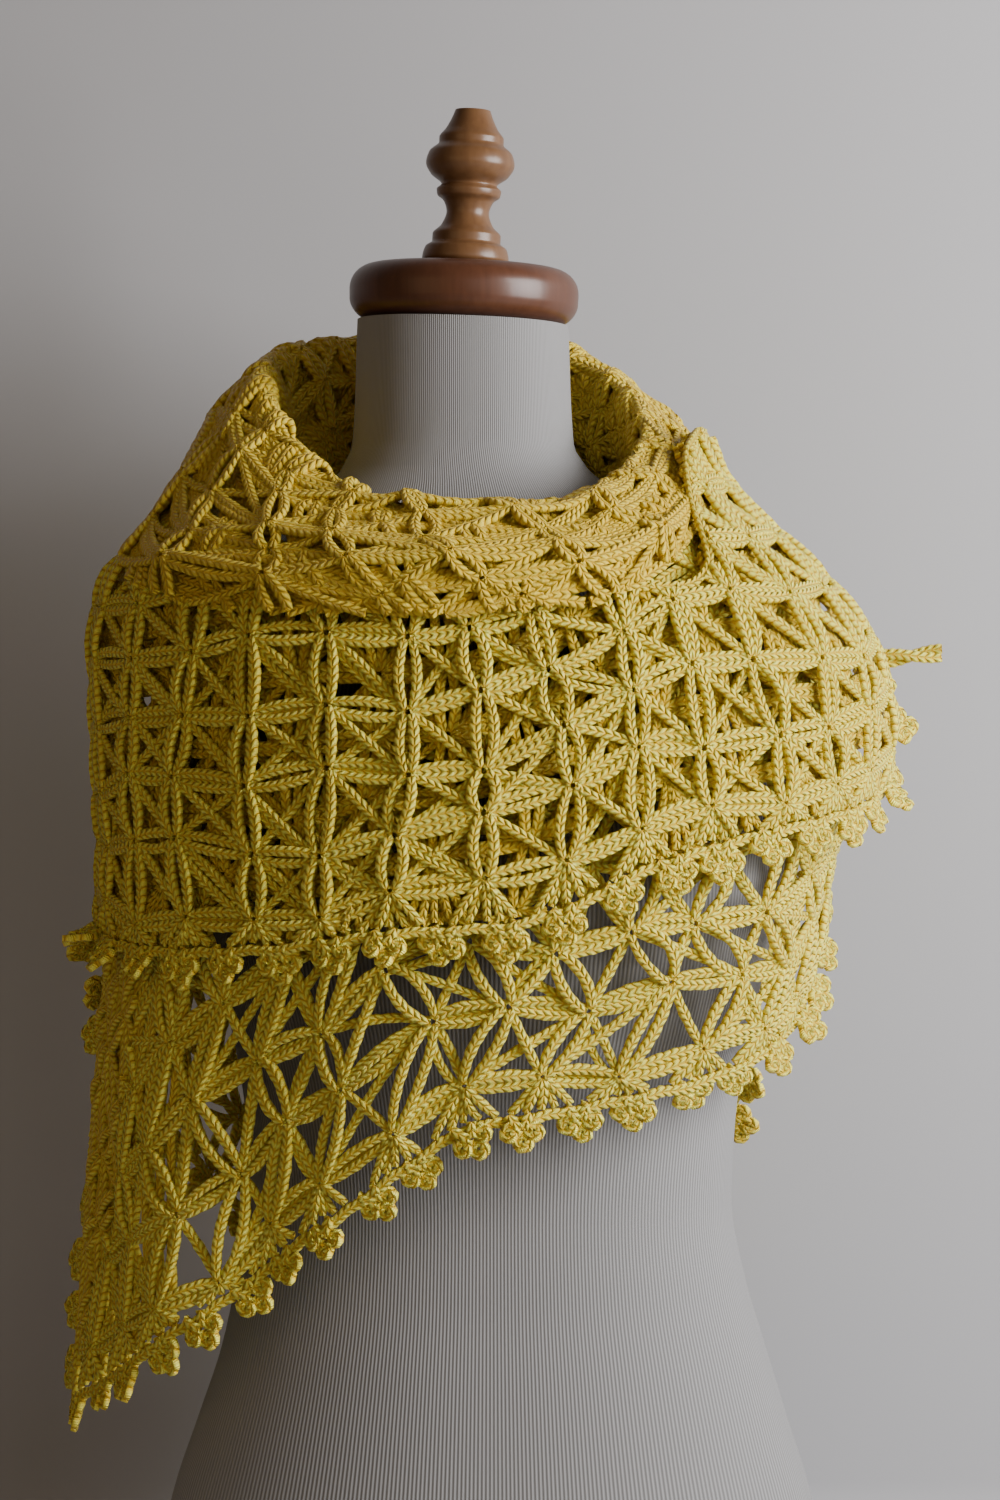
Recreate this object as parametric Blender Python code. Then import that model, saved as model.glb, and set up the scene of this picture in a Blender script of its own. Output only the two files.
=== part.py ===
"""A crochet lace shawl, one triangle, wound one and a half times round a limbless dress form.

Metres, Z up, X to the wearer's left, Y to the back. The origin is the middle of the flat base that the
form stands on. A turn is an angle round the body in degrees: 0 is the front, 90 the side at +X, 180 the
back, 270 the side at -X, and the second round goes on past 360. The tables are in millimetres.
"""

import math
from collections import namedtuple

import bmesh
import bpy
import numpy as np

MM = 0.001

# The dress form
FORM_SEGMENTS = 36
FORM_ROUNDNESS = 2.25  # power of the superellipse that a level section follows
NECK_LEAN = 2.0  # degrees that the neck's top tips towards +X
NECK_FOOT = 660
NECK_TOP = 735
Ring = namedtuple("Ring", "height left right front back")
FORM_RINGS = (
    Ring(0, 177, 177, 115, 123),
    Ring(6, 182, 182, 120, 128),
    Ring(50, 183, 183, 120, 128),
    Ring(98, 174, 175, 116, 124),
    Ring(140, 160, 162, 110, 116),
    Ring(179, 147, 150, 104, 106),
    Ring(220, 138, 138, 98, 98),
    Ring(260, 131, 131, 96, 92),
    Ring(304, 133, 133, 100, 92),
    Ring(340, 138, 138, 108, 96),
    Ring(385, 148, 148, 121, 101),
    Ring(430, 157, 157, 127, 105),
    Ring(480, 165, 165, 123, 107),
    Ring(530, 171, 171, 114, 105),
    Ring(565, 172, 172, 104, 100),
    Ring(585, 165, 165, 97, 95),
    Ring(600, 150, 150, 90, 88),
    Ring(620, 119, 119, 80, 79),
    Ring(640, 87, 87, 69, 68),
    Ring(655, 68, 68, 61, 60),
    Ring(670, 60, 60, 58, 57),
    Ring(735, 57, 57, 57, 57),
)
Shift = namedtuple("Shift", "height x")
CENTRE_LINE = (
    Shift(0, 0),
    Shift(440, 0),
    Shift(520, -2),
    Shift(560, -4),
    Shift(600, -8),
    Shift(640, -12),
    Shift(670, -15),
    Shift(760, -15),
)

# The turned wood
CAP_SEGMENTS = 32
CAP_RADIUS = 62
CAP_THICK = 30
CAP_ROUND = 13
FINIAL_SEGMENTS = 20
FINIAL_LEAN = 3.0
Turned = namedtuple("Turned", "height radius")
FINIAL_PROFILE = (
    Turned(0, 20),
    Turned(4, 23.5),
    Turned(10, 22),
    Turned(13, 18.5),
    Turned(17, 18.5),
    Turned(22, 14),
    Turned(29, 11.5),
    Turned(35, 13.5),
    Turned(38, 17),
    Turned(41, 17.5),
    Turned(44, 15),
    Turned(49, 21),
    Turned(55, 24),
    Turned(61, 22.5),
    Turned(66, 17.5),
    Turned(69, 17.5),
    Turned(74, 14),
    Turned(80, 11),
    Turned(84, 9.5),
)

# The cloth: how far its inner face stands from the body's centre line at each height
WALL = 3.5
SEAM = 0.3
BORDER_SEAM = 0.4  # a little more, as the border bends
HEM_GAP = 3.2  # under the cowl's hem
FOOT_GAP = 2.2  # from the form to the cowl's foot
DRAPE_ROUNDNESS = 2.1
DRAPE_RINGS = (
    Ring(110, 227, 172, 126, 141),
    Ring(160, 225, 170, 124, 140),
    Ring(200, 222, 168, 124, 139),
    Ring(240, 219, 168, 126, 138),
    Ring(280, 216, 169, 130, 137),
    Ring(320, 213, 170, 136, 136),
    Ring(370, 207, 172, 145, 135),
    Ring(400, 203, 177, 149, 134),
    Ring(440, 199, 184, 150, 133),
    Ring(480, 199, 192, 149, 132),
    Ring(520, 199, 196, 147, 131),
    Ring(560, 199, 190, 144, 130),
    Ring(580, 196, 179, 140, 128),
    Ring(600, 187, 164, 134, 125),
    Ring(620, 163, 144, 126, 121),
    Ring(640, 138, 125, 118, 116),
    Ring(660, 120, 113, 112, 109),
    Ring(680, 110, 106, 106, 102),
    Ring(700, 102, 97, 100, 95),
)
Fold = namedtuple("Fold", "turn depth width height reach")
FOLDS = (
    Fold(283, -5, 6, 250, 130),
    Fold(298, 7, 7, 250, 110),
    Fold(313, -6, 7, 250, 90),
    Fold(290, 4, 9, 480, 60),
    Fold(338, 4, 9, 345, 70),
    Fold(18, -4, 9, 350, 60),
    Fold(55, 5, 9, 390, 60),
    Fold(80, -4, 8, 440, 60),
    Fold(130, 6, 9, 360, 140),
    Fold(150, -6, 9, 320, 150),
    Fold(172, 8, 9, 260, 160),
    Fold(196, -7, 9, 260, 160),
    Fold(216, 8, 9, 300, 150),
    Fold(238, -6, 8, 350, 130),
)

# Where the triangle's border and its long edge run, and how far each stretch is lifted by those beneath
Edge = namedtuple("Edge", "turn border top lift")
EDGES = (
    Edge(-88, 150, 600, 0),
    Edge(-72, 180, 602, 0),
    Edge(-60, 209, 602, 0),
    Edge(-43, 254, 600, 0),
    Edge(-34, 270, 597, 0),
    Edge(-18, 300, 592, 0),
    Edge(-4, 321, 590, 0),
    Edge(12, 327, 592, 0),
    Edge(28, 334, 598, 0),
    Edge(43, 341, 608, 0),
    Edge(60, 356, 625, 0),
    Edge(73, 373, 638, 0),
    Edge(83, 397, 643, 0),
    Edge(92, 426, 646, 0),
    Edge(99, 449, 652, 0),
    Edge(104, 457, 665, 0),
    Edge(109, 443, 676, 0),
    Edge(113, 403, 682, 0),
    Edge(117, 357, 686, 0),
    Edge(121, 318, 689, 0),
    Edge(126, 287, 692, 0),
    Edge(135, 252, 697, 0),
    Edge(150, 212, 700, 0),
    Edge(168, 167, 702, 0),
    Edge(186, 143, 703, 0),
    Edge(204, 167, 700, 2),
    Edge(222, 211, 694, 4),
    Edge(236, 252, 686, 6.5),
    Edge(245, 291, 680, 8),
    Edge(251, 330, 676, 9),
    Edge(258, 370, 671, 9.5),
    Edge(265, 400, 666, 10),
    Edge(272, 411, 660, 10),
    Edge(288, 408, 640, 10),
    Edge(300, 407, 625, 10),
    Edge(319, 411, 606, 10),
    Edge(346, 422, 598, 11),
    Edge(362, 425, 597, 11),
    Edge(374, 434, 597, 11),
    Edge(387, 452, 593, 11),
    Edge(400, 463, 594, 11.5),
    Edge(407, 468, 604, 13),
    Edge(414, 472, 640, 16),
    Edge(424, 477, 668, 19),
    Edge(436, 483, 677, 20.5),
    Edge(446, 492, 674, 21),
    Edge(453, 512, 658, 21),
    Edge(458, 533, 630, 21),
    Edge(463, 552, 590, 21),
)
UNDER_TURNS = (-88, 95)
BACK_TURNS = (95, 268)
OVER_TURNS = (268, 463)
SEAM_HALF_TURN = 0.1
ROW_HEIGHT = 29

# The cowl: a foot on the shoulders, a rim, a fold that swells outwards, and a hem over the layers below
Cowl = namedtuple("Cowl", "turn foot rim_radius rim swell_radius swell hem")
COWL = (
    Cowl(-90, 634, 109, 711, 137, 683, 650),
    Cowl(-75, 627, 107, 696, 147, 655, 612),
    Cowl(-60, 618, 107, 676, 157, 632, 590),
    Cowl(-40, 608, 110, 651, 164, 612, 579),
    Cowl(-20, 603, 115, 638, 166, 606, 577),
    Cowl(0, 602, 118, 635, 165, 605, 577),
    Cowl(20, 603, 115, 637, 162, 609, 583),
    Cowl(40, 607, 112, 648, 149, 626, 606),
    Cowl(62, 618, 105, 668, 131, 651, 632),
    Cowl(90, 636, 95, 690, 122, 672, 655),
    Cowl(120, 648, 89, 714, 118, 694, 670),
    Cowl(150, 658, 86, 732, 117, 707, 678),
    Cowl(180, 662, 87, 737, 118, 711, 680),
    Cowl(210, 658, 92, 736, 122, 709, 677),
    Cowl(240, 648, 101, 729, 129, 701, 668),
)
COWL_COLUMNS = 36
COWL_STATIONS = (0, 0.6, 1.1, 1.6, 1.85, 2.1, 2.4, 2.7, 3, 3.2, 3.4, 3.6, 3.8, 4)  # foot 0, rim 2, hem 4
CROSSING = (28, 52)  # the cowl passes from over the upper stretch to beneath it between these turns

# The picot edging: one trefoil after another, as shares of its width and depths below the border
Lobe = namedtuple("Lobe", "along depth")
TREFOIL_WIDTH = 37
TREFOIL = (
    Lobe(0.0, 4),
    Lobe(0.16, 11),
    Lobe(0.29, 11.5),
    Lobe(0.37, 9),
    Lobe(0.42, 17),
    Lobe(0.5, 20.5),
    Lobe(0.58, 17),
    Lobe(0.63, 9),
    Lobe(0.71, 11.5),
    Lobe(0.84, 11),
)
SIDE_TOP = 425  # where the edging up the hanging corner's free side ends, under the upper stretch
TAIL_START = 1.5  # clear of the lace's corner
TAIL_LENGTH = 33
TAIL_TURN = 450
TAIL_HEIGHT = 553
TAIL_RISE = 6
TAIL_THICK = 9
TAIL_SIDES = 8
TAIL_RINGS = 5


def curve(places, values):
    """A smooth line through the values, with no overshoot between them, as a function of place."""
    x = np.array(places, float)
    y = np.array(values, float)
    step = np.diff(x)
    rise = np.diff(y) / step
    slope = np.zeros(len(x))
    slope[0], slope[-1] = rise[0], rise[-1]
    for k in range(1, len(x) - 1):
        if rise[k - 1] * rise[k] > 0:
            near, far = 2 * step[k] + step[k - 1], step[k] + 2 * step[k - 1]
            slope[k] = (near + far) / (near / rise[k - 1] + far / rise[k])

    def at(place):
        p = np.clip(np.asarray(place, float), x[0], x[-1])
        k = np.clip(np.searchsorted(x, p, side="right") - 1, 0, len(step) - 1)
        t = (p - x[k]) / step[k]
        start = (1 + 2 * t) * (1 - t) ** 2 * y[k] + t * (1 - t) ** 2 * step[k] * slope[k]
        end = t * t * (3 - 2 * t) * y[k + 1] + t * t * (t - 1) * step[k] * slope[k + 1]
        return start + end

    return at


def table_curve(rows, place, value):
    """curve() for two named columns of a table, both in the table's own units."""
    return curve([getattr(r, place) for r in rows], [getattr(r, value) for r in rows])


def smooth_step(low, high, value):
    """0 below low, 1 above high, and a soft slope between them."""
    t = np.clip((value - low) / (high - low), 0, 1)
    return t * t * (3 - 2 * t)


centre_x = table_curve(CENTRE_LINE, "height", "x")


def ring_radius(rings, roundness):
    """The distance from the centre line to a surface of rings, by turn and height, in millimetres."""
    sides = {name: table_curve(rings, "height", name) for name in Ring._fields[1:]}

    def at(turn, height):
        a = np.radians(turn)
        across = np.where(np.sin(a) < 0, sides["left"](height), sides["right"](height))
        along = np.where(np.cos(a) > 0, sides["front"](height), sides["back"](height))
        total = np.abs(np.sin(a) / across) ** roundness + np.abs(np.cos(a) / along) ** roundness
        return total ** (-1 / roundness)

    return at


form_radius = ring_radius(FORM_RINGS, FORM_ROUNDNESS)
drape_smooth = ring_radius(DRAPE_RINGS, DRAPE_ROUNDNESS)


def drape_radius(turn, height):
    """The cloth's inner face, with its soft folds."""
    radius = drape_smooth(turn, height)
    for fold in FOLDS:
        away = (np.asarray(turn) - fold.turn + 180) % 360 - 180
        bell = (away / fold.width) ** 2 + ((height - fold.height) / fold.reach) ** 2
        radius = radius + fold.depth * np.exp(-bell)
    return radius


border_at = table_curve(EDGES, "turn", "border")
top_at = table_curve(EDGES, "turn", "top")
lift_at = table_curve(EDGES, "turn", "lift")


def place(turn, height, radius):
    """Millimetres round the centre line as points in metres, in a last axis of three."""
    a = np.radians(turn)
    x = centre_x(height) + radius * np.sin(a)
    y = -radius * np.cos(a)
    return np.stack(np.broadcast_arrays(x, y, height), axis=-1) * MM


def material(name, colour, roughness, metallic=0.0):
    made = bpy.data.materials.new(name)
    made.use_nodes = True
    shader = made.node_tree.nodes["Principled BSDF"]
    shader.inputs["Base Color"].default_value = (*colour, 1)
    shader.inputs["Roughness"].default_value = roughness
    shader.inputs["Metallic"].default_value = metallic
    made.diffuse_color = (*colour, 1)
    return made


def add_object(name, points, faces, finish, sharp_degrees=40):
    """An object from points in metres and faces that close it, with its faces turned outwards."""
    mesh = bpy.data.meshes.new(name)
    mesh.from_pydata([tuple(p) for p in points], [], faces)
    shape = bmesh.new()
    shape.from_mesh(mesh)
    bmesh.ops.recalc_face_normals(shape, faces=shape.faces)
    shape.to_mesh(mesh)
    shape.free()
    mesh.materials.append(finish)
    mesh.shade_smooth()
    mesh.set_sharp_from_angle(angle=math.radians(sharp_degrees))
    made = bpy.data.objects.new(name, mesh)
    bpy.context.scene.collection.objects.link(made)
    return made


def wall(name, inner, outer, finish, closed=False):
    """A closed wall between two grids of points, columns by rows. A closed one meets itself all round."""
    columns, rows = inner.shape[:2]
    points = np.concatenate([inner.reshape(-1, 3), outer.reshape(-1, 3)])
    skin = columns * rows
    faces = []
    for c in range(columns if closed else columns - 1):
        here, there = c * rows, (c + 1) % columns * rows
        for r in range(rows - 1):
            quad = (here + r, there + r, there + r + 1, here + r + 1)
            faces.append(quad)
            faces.append(tuple(skin + i for i in reversed(quad)))
        for r in (0, rows - 1):
            faces.append((here + r, there + r, skin + there + r, skin + here + r))
    if not closed:
        for c in (0, columns - 1):
            start = c * rows
            for r in range(start, start + rows - 1):
                faces.append((r, r + 1, skin + r + 1, skin + r))
    return add_object(name, points, faces, finish)


def stack_of_rings(name, rings, finish, sharp_degrees=40):
    """A solid through level rings of points, from its lowest to its highest, closed by flat ends."""
    count, sides = rings.shape[:2]
    faces = []
    for k in range(count - 1):
        for s in range(sides):
            t = (s + 1) % sides
            faces.append((k * sides + s, k * sides + t, (k + 1) * sides + t, (k + 1) * sides + s))
    faces.append(tuple(range(sides)))
    faces.append(tuple(range((count - 1) * sides, count * sides)))
    return add_object(name, rings.reshape(-1, 3), faces, finish, sharp_degrees)


def tipped(points, pivot, degrees):
    """Points turned about an axis along Y through the pivot, so that what is above it moves to +X."""
    a = math.radians(degrees)
    x = points[..., 0] - pivot[0]
    z = points[..., 2] - pivot[2]
    turned = points.copy()
    turned[..., 0] = pivot[0] + x * np.cos(a) + z * np.sin(a)
    turned[..., 2] = pivot[2] - x * np.sin(a) + z * np.cos(a)
    return turned


def form_torso(jersey):
    """The limbless torso and neck. The neck leans a little, so that its cap sits askew."""
    turns = np.arange(FORM_SEGMENTS) * 360 / FORM_SEGMENTS
    heights = np.array([r.height for r in FORM_RINGS], float)
    grid = place(turns[None, :], heights[:, None], form_radius(turns[None, :], heights[:, None]))
    lean = smooth_step(NECK_FOOT, NECK_TOP, heights)[:, None] * math.tan(math.radians(NECK_LEAN))
    grid[..., 2] -= (grid[..., 0] - centre_x(heights)[:, None] * MM) * lean
    return stack_of_rings("form_torso", grid, jersey)


def turned_wood(name, profile, segments, base, degrees, wood):
    """A solid turned on a lathe from (height, radius) rows, standing on base and tipped by degrees."""
    turns = np.radians(np.arange(segments) * 360 / segments)
    height, radius = np.array(profile, float).T[..., None] * MM
    x = base[0] + radius * np.sin(turns)
    y = base[1] - radius * np.cos(turns)
    rings = np.stack(np.broadcast_arrays(x, y, base[2] + height), axis=-1)
    return stack_of_rings(name, tipped(rings, base, degrees), wood, sharp_degrees=50)


def cap_profile():
    """A thick disc with a rounded edge, as (height, radius) rows."""
    rows = [(0, CAP_RADIUS - CAP_ROUND)]
    for step in range(7):
        a = math.radians(-90 + 30 * step)
        middle = CAP_ROUND if step < 3 else CAP_THICK - CAP_ROUND
        height = CAP_THICK / 2 if step == 3 else middle + CAP_ROUND * math.sin(a)
        rows.append((height, CAP_RADIUS - CAP_ROUND + CAP_ROUND * math.cos(a)))
    return rows[1:]


def neck_woodwork(wood):
    """The cap on the neck and the finial on the cap, each just clear of what carries it."""
    neck = (centre_x(NECK_TOP) * MM, 0.0, (NECK_TOP + SEAM) * MM)
    turned_wood("neck_cap", cap_profile(), CAP_SEGMENTS, neck, NECK_LEAN, wood)
    up = (CAP_THICK + 2 * SEAM) * MM
    lean = math.radians(NECK_LEAN)
    foot = (neck[0] + up * math.sin(lean), 0.0, neck[2] + up * math.cos(lean))
    turned_wood("finial", FINIAL_PROFILE, FINIAL_SEGMENTS, foot, FINIAL_LEAN, wood)


def columns_of(turns):
    """The turns of a stretch's columns: two to a trefoil, evenly along the border."""
    fine = np.linspace(turns[0] + SEAM_HALF_TURN, turns[1] - SEAM_HALF_TURN, 600)
    line = place(fine, border_at(fine), drape_radius(fine, border_at(fine)) + lift_at(fine))
    run = np.concatenate([[0], np.cumsum(np.linalg.norm(np.diff(line, axis=0), axis=1))]) / MM
    trefoils = round(run[-1] / TREFOIL_WIDTH)
    return np.interp(np.linspace(0, run[-1], 2 * trefoils + 1), run, fine)


def on_cloth(turn, height, out=0.0):
    """Points on the cloth's inner face, or that far out from it."""
    return place(turn, height, drape_radius(turn, height) + lift_at(turn) + out)


def rows_of(turns):
    """The heights of a stretch's rows at each of its columns."""
    turn = columns_of(turns)[:, None]
    low, high = border_at(turn), top_at(turn)
    rows = round(float((high - low).max()) / ROW_HEIGHT) + 1
    return low + (high - low) * np.linspace(0, 1, rows)[None, :]


def stretch(name, turns, yarn):
    """One stretch of the wound triangle, from its border up to its long edge."""
    turn = columns_of(turns)[:, None]
    height = rows_of(turns)
    wall(name, on_cloth(turn, height), on_cloth(turn, height, WALL), yarn)


def below_border(turn, depth):
    """The turn and height of points this deep below the border, square to it along the cloth."""
    step = 0.5
    rise = (border_at(turn + step) - border_at(turn - step)) / 2
    arc = np.radians(step) * (drape_radius(turn, border_at(turn)) + lift_at(turn))
    length = np.hypot(rise, arc)
    return turn + step * depth * rise / (arc * length), border_at(turn) - depth * arc / length


def trefoil_row(count):
    """The places of a row of trefoils' points, counted in trefoils, and their depths."""
    along = [k + lobe.along for k in range(count) for lobe in TREFOIL] + [count]
    depths = [lobe.depth for _ in range(count) for lobe in TREFOIL] + [TREFOIL[0].depth]
    return np.array(along, float), np.array(depths, float)


def edging(name, turns, yarn):
    """The picot edging along one stretch's border: a strip whose lower side is a row of trefoils."""
    columns = columns_of(turns)
    numbers = np.arange(len(columns)) / 2
    along, depths = trefoil_row((len(columns) - 1) // 2)
    turn = np.interp(along, numbers, columns)
    turn_low, height_low = below_border(turn, depths)
    turn_next, height_next = below_border(turn, 1.0)
    skins = []
    for out in (0.0, WALL):
        seam = on_cloth(columns, border_at(columns), out)
        upper = np.stack([np.interp(along, numbers, axis) for axis in seam.T], axis=-1)
        down = on_cloth(turn_next, height_next, out) - on_cloth(turn, border_at(turn), out)
        upper += down / np.linalg.norm(down, axis=1)[:, None] * BORDER_SEAM * MM
        skins.append(np.stack([upper, on_cloth(turn_low, height_low, out)], axis=1))
    wall(name, *skins, yarn)


def side_edging(yarn):
    """The same edging up the free side of the hanging corner."""
    turn = columns_of(UNDER_TURNS)[0]
    heights = rows_of(UNDER_TURNS)[0]
    bottom = heights[0] + SEAM
    count = round((SIDE_TOP - bottom) / TREFOIL_WIDTH)
    along, depths = trefoil_row(count)
    height = bottom + along / count * (SIDE_TOP - bottom)
    seam_radius = np.interp(height, heights, drape_radius(turn, heights))
    turn_near = turn - np.degrees(BORDER_SEAM / seam_radius)
    turn_far = turn - np.degrees(depths / seam_radius)
    far_radius = drape_radius(turn_far, height)
    skins = []
    for out in (0.0, WALL):
        near = place(turn_near, height, seam_radius + out)
        skins.append(np.stack([near, place(turn_far, height, far_radius + out)], axis=1))
    wall("side_edging", *skins, yarn)


def beneath_cowl(turn):
    """The lift and the top edge of the layer that the cowl rests on, by turn from -90 to 270."""
    over = 1 - smooth_step(*CROSSING, turn)
    first_round = np.where(turn < 0, turn + 360, turn)
    lifts = [over * lift_at(turn + 360) + (1 - over) * lift_at(turn), lift_at(first_round)]
    tops = [np.where(over > 0.5, top_at(turn + 360), top_at(turn)), top_at(first_round)]
    in_front = turn < UNDER_TURNS[1]
    return np.where(in_front, *lifts), np.where(in_front, *tops)


def neck_cowl(yarn):
    """The folded collar: up from the shoulders, over its rim and down to its hem, all round the neck."""
    rows = list(COWL) + [COWL[0]._replace(turn=270)]
    rows = [rows[-2]._replace(turn=rows[-2].turn - 360)] + rows
    rows.append(COWL[1]._replace(turn=COWL[1].turn + 360))
    turn = (np.arange(COWL_COLUMNS) * 360 / COWL_COLUMNS) - 90
    at = {name: table_curve(rows, "turn", name)(turn) for name in Cowl._fields[1:]}
    lift, top = beneath_cowl(turn)
    foot = form_radius(turn, at["foot"]) + FOOT_GAP
    hem = drape_radius(turn, at["hem"]) + lift + 2 * WALL + HEM_GAP
    stations = np.array(COWL_STATIONS)
    outer = np.zeros((COWL_COLUMNS, len(stations), 2))
    inner = np.zeros_like(outer)
    for c in range(COWL_COLUMNS):
        rise = at["rim"][c] - at["foot"][c]
        line = [
            (foot[c], at["foot"][c]),
            (0.45 * foot[c] + 0.55 * at["rim_radius"][c] - 4, at["foot"][c] + 0.55 * rise),
            (at["rim_radius"][c], at["rim"][c]),
            (at["swell_radius"][c], at["swell"][c]),
            (hem[c], at["hem"][c]),
        ]
        section = np.stack([round_curve(line, k)(stations) for k in (0, 1)], axis=-1)
        ahead = np.gradient(section, axis=0)
        ahead /= np.linalg.norm(ahead, axis=1)[:, None]
        away = np.stack([-ahead[:, 1], ahead[:, 0]], axis=-1)
        beneath = section - away * WALL
        bare = drape_radius(turn[c], beneath[:, 1]) + lift[c] + WALL + HEM_GAP
        short = np.where(beneath[:, 1] < top[c] + 8, bare - beneath[:, 0], 0)
        push = np.where(stations > 2.2, np.maximum(short, 0), 0)
        outer[c] = section + push[:, None] * (1, 0)
        inner[c] = beneath + push[:, None] * (1, 0)
    both = [place(turn[:, None], g[..., 1], g[..., 0]) for g in (inner, outer)]
    wall("neck_cowl", both[0], both[1], yarn, closed=True)


def round_curve(line, axis):
    """One coordinate of a round line through a few points, as a function of the point's number."""
    values = np.array([p[axis] for p in line], float)
    slope = np.gradient(values)

    def at(place_on_line):
        k = np.clip(np.floor(place_on_line).astype(int), 0, len(values) - 2)
        t = place_on_line - k
        start = (1 + 2 * t) * (1 - t) ** 2 * values[k] + t * (1 - t) ** 2 * slope[k]
        end = t * t * (3 - 2 * t) * values[k + 1] + t * t * (t - 1) * slope[k + 1]
        return start + end

    return at


def corner_tail(yarn):
    """The short crocheted tail that stands out from the corner on the shoulder."""
    reach = drape_radius(TAIL_TURN, TAIL_HEIGHT) + lift_at(TAIL_TURN) + WALL + TAIL_START
    start = place(TAIL_TURN, TAIL_HEIGHT, reach)
    rings = np.zeros((TAIL_RINGS, TAIL_SIDES, 3))
    for k in range(TAIL_RINGS):
        share = k / (TAIL_RINGS - 1)
        thick = TAIL_THICK * (1 - 0.35 * share) * (0.75 if k in (0, TAIL_RINGS - 1) else 1)
        for s in range(TAIL_SIDES):
            a = 2 * math.pi * s / TAIL_SIDES
            rings[k, s] = (
                share * TAIL_LENGTH * MM,
                0.5 * thick * math.cos(a) * MM,
                (share * TAIL_RISE + 0.5 * thick * math.sin(a)) * MM,
            )
    stack_of_rings("corner_tail", rings + start, yarn)


def build():
    for old in list(bpy.data.objects):
        bpy.data.objects.remove(old, do_unlink=True)
    jersey = material("jersey", (0.78, 0.75, 0.68), 0.8)
    wood = material("varnished_wood", (0.36, 0.17, 0.08), 0.25)
    yarn = material("yellow_yarn", (0.80, 0.62, 0.16), 0.55)
    form_torso(jersey)
    neck_woodwork(wood)
    for name, turns in (("under", UNDER_TURNS), ("back", BACK_TURNS), ("over", OVER_TURNS)):
        stretch(f"{name}_{'panel' if name == 'back' else 'front'}", turns, yarn)
        edging(f"{name}_edging", turns, yarn)
    side_edging(yarn)
    neck_cowl(yarn)
    corner_tail(yarn)


build()
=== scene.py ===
"""The looks of the crochet shawl on its dress form: lace of chain-stitch yarn, jersey, varnished wood.

Surfaces are worked out in millimetres, as in the part, and meshes are made in metres. A turn is an angle
round the body in degrees: 0 is the front, 90 the side at +X, 180 the back, and the second round goes on
past 360. Lace is laid out on a surface by u, the distance round it, and v, the distance up it.
"""

import math
from collections import namedtuple
from functools import partial

import bpy
import numpy as np
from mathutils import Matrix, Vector


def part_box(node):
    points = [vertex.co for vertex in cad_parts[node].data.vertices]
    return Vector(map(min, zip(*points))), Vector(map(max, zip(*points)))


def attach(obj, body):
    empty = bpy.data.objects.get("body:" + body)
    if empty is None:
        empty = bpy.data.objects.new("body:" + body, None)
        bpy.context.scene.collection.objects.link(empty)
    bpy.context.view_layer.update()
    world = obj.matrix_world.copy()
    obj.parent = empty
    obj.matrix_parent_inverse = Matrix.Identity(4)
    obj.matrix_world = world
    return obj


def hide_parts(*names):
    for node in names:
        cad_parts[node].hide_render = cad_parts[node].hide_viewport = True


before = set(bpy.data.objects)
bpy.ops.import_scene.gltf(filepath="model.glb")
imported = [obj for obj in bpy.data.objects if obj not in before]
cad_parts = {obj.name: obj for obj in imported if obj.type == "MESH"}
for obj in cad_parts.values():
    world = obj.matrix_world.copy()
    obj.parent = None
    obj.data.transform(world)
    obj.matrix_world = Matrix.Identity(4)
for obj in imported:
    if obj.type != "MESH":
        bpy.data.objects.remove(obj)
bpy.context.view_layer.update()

MM = 0.001

# The dress form, as in the part
FORM_ROUNDNESS = 2.25
NECK_LEAN = 2.0
NECK_FOOT = 660
NECK_TOP = 735
Ring = namedtuple("Ring", "height left right front back")
FORM_RINGS = [Ring(*row) for row in (
    (0, 177, 177, 115, 123), (6, 182, 182, 120, 128), (50, 183, 183, 120, 128),
    (98, 174, 175, 116, 124), (140, 160, 162, 110, 116), (179, 147, 150, 104, 106),
    (220, 138, 138, 98, 98), (260, 131, 131, 96, 92), (304, 133, 133, 100, 92),
    (340, 138, 138, 108, 96), (385, 148, 148, 121, 101), (430, 157, 157, 127, 105),
    (480, 165, 165, 123, 107), (530, 171, 171, 114, 105), (565, 172, 172, 104, 100),
    (585, 165, 165, 97, 95), (600, 150, 150, 90, 88), (620, 119, 119, 80, 79), (640, 87, 87, 69, 68),
    (655, 68, 68, 61, 60), (670, 60, 60, 58, 57), (735, 57, 57, 57, 57),
)]
Shift = namedtuple("Shift", "height x")
CENTRE_LINE = [Shift(*row) for row in (
    (0, 0), (440, 0), (520, -2), (560, -4), (600, -8), (640, -12), (670, -15), (760, -15),
)]
FORM_COLUMNS = 120
FORM_ROW = 9
BASE_ROUND = [1.5, 3.5]  # heights of two more rows, where the form's foot is round
RIB_WIDTH = 2.2

# The turned cap and finial, as in the part
CAP_RADIUS = 62
CAP_THICK = 30
CAP_ROUND = 13
SEAM = 0.3
FINIAL_LEAN = 3.0
WOOD_SEGMENTS = 96
Turned = namedtuple("Turned", "height radius")
FINIAL_PROFILE = [Turned(*row) for row in (
    (0, 20), (4, 23.5), (10, 22), (13, 18.5), (17, 18.5), (22, 14), (29, 11.5), (35, 13.5), (38, 17),
    (41, 17.5), (44, 15), (49, 21), (55, 24), (61, 22.5), (66, 17.5), (69, 17.5), (74, 14), (80, 11),
    (84, 9.5),
)]

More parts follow.
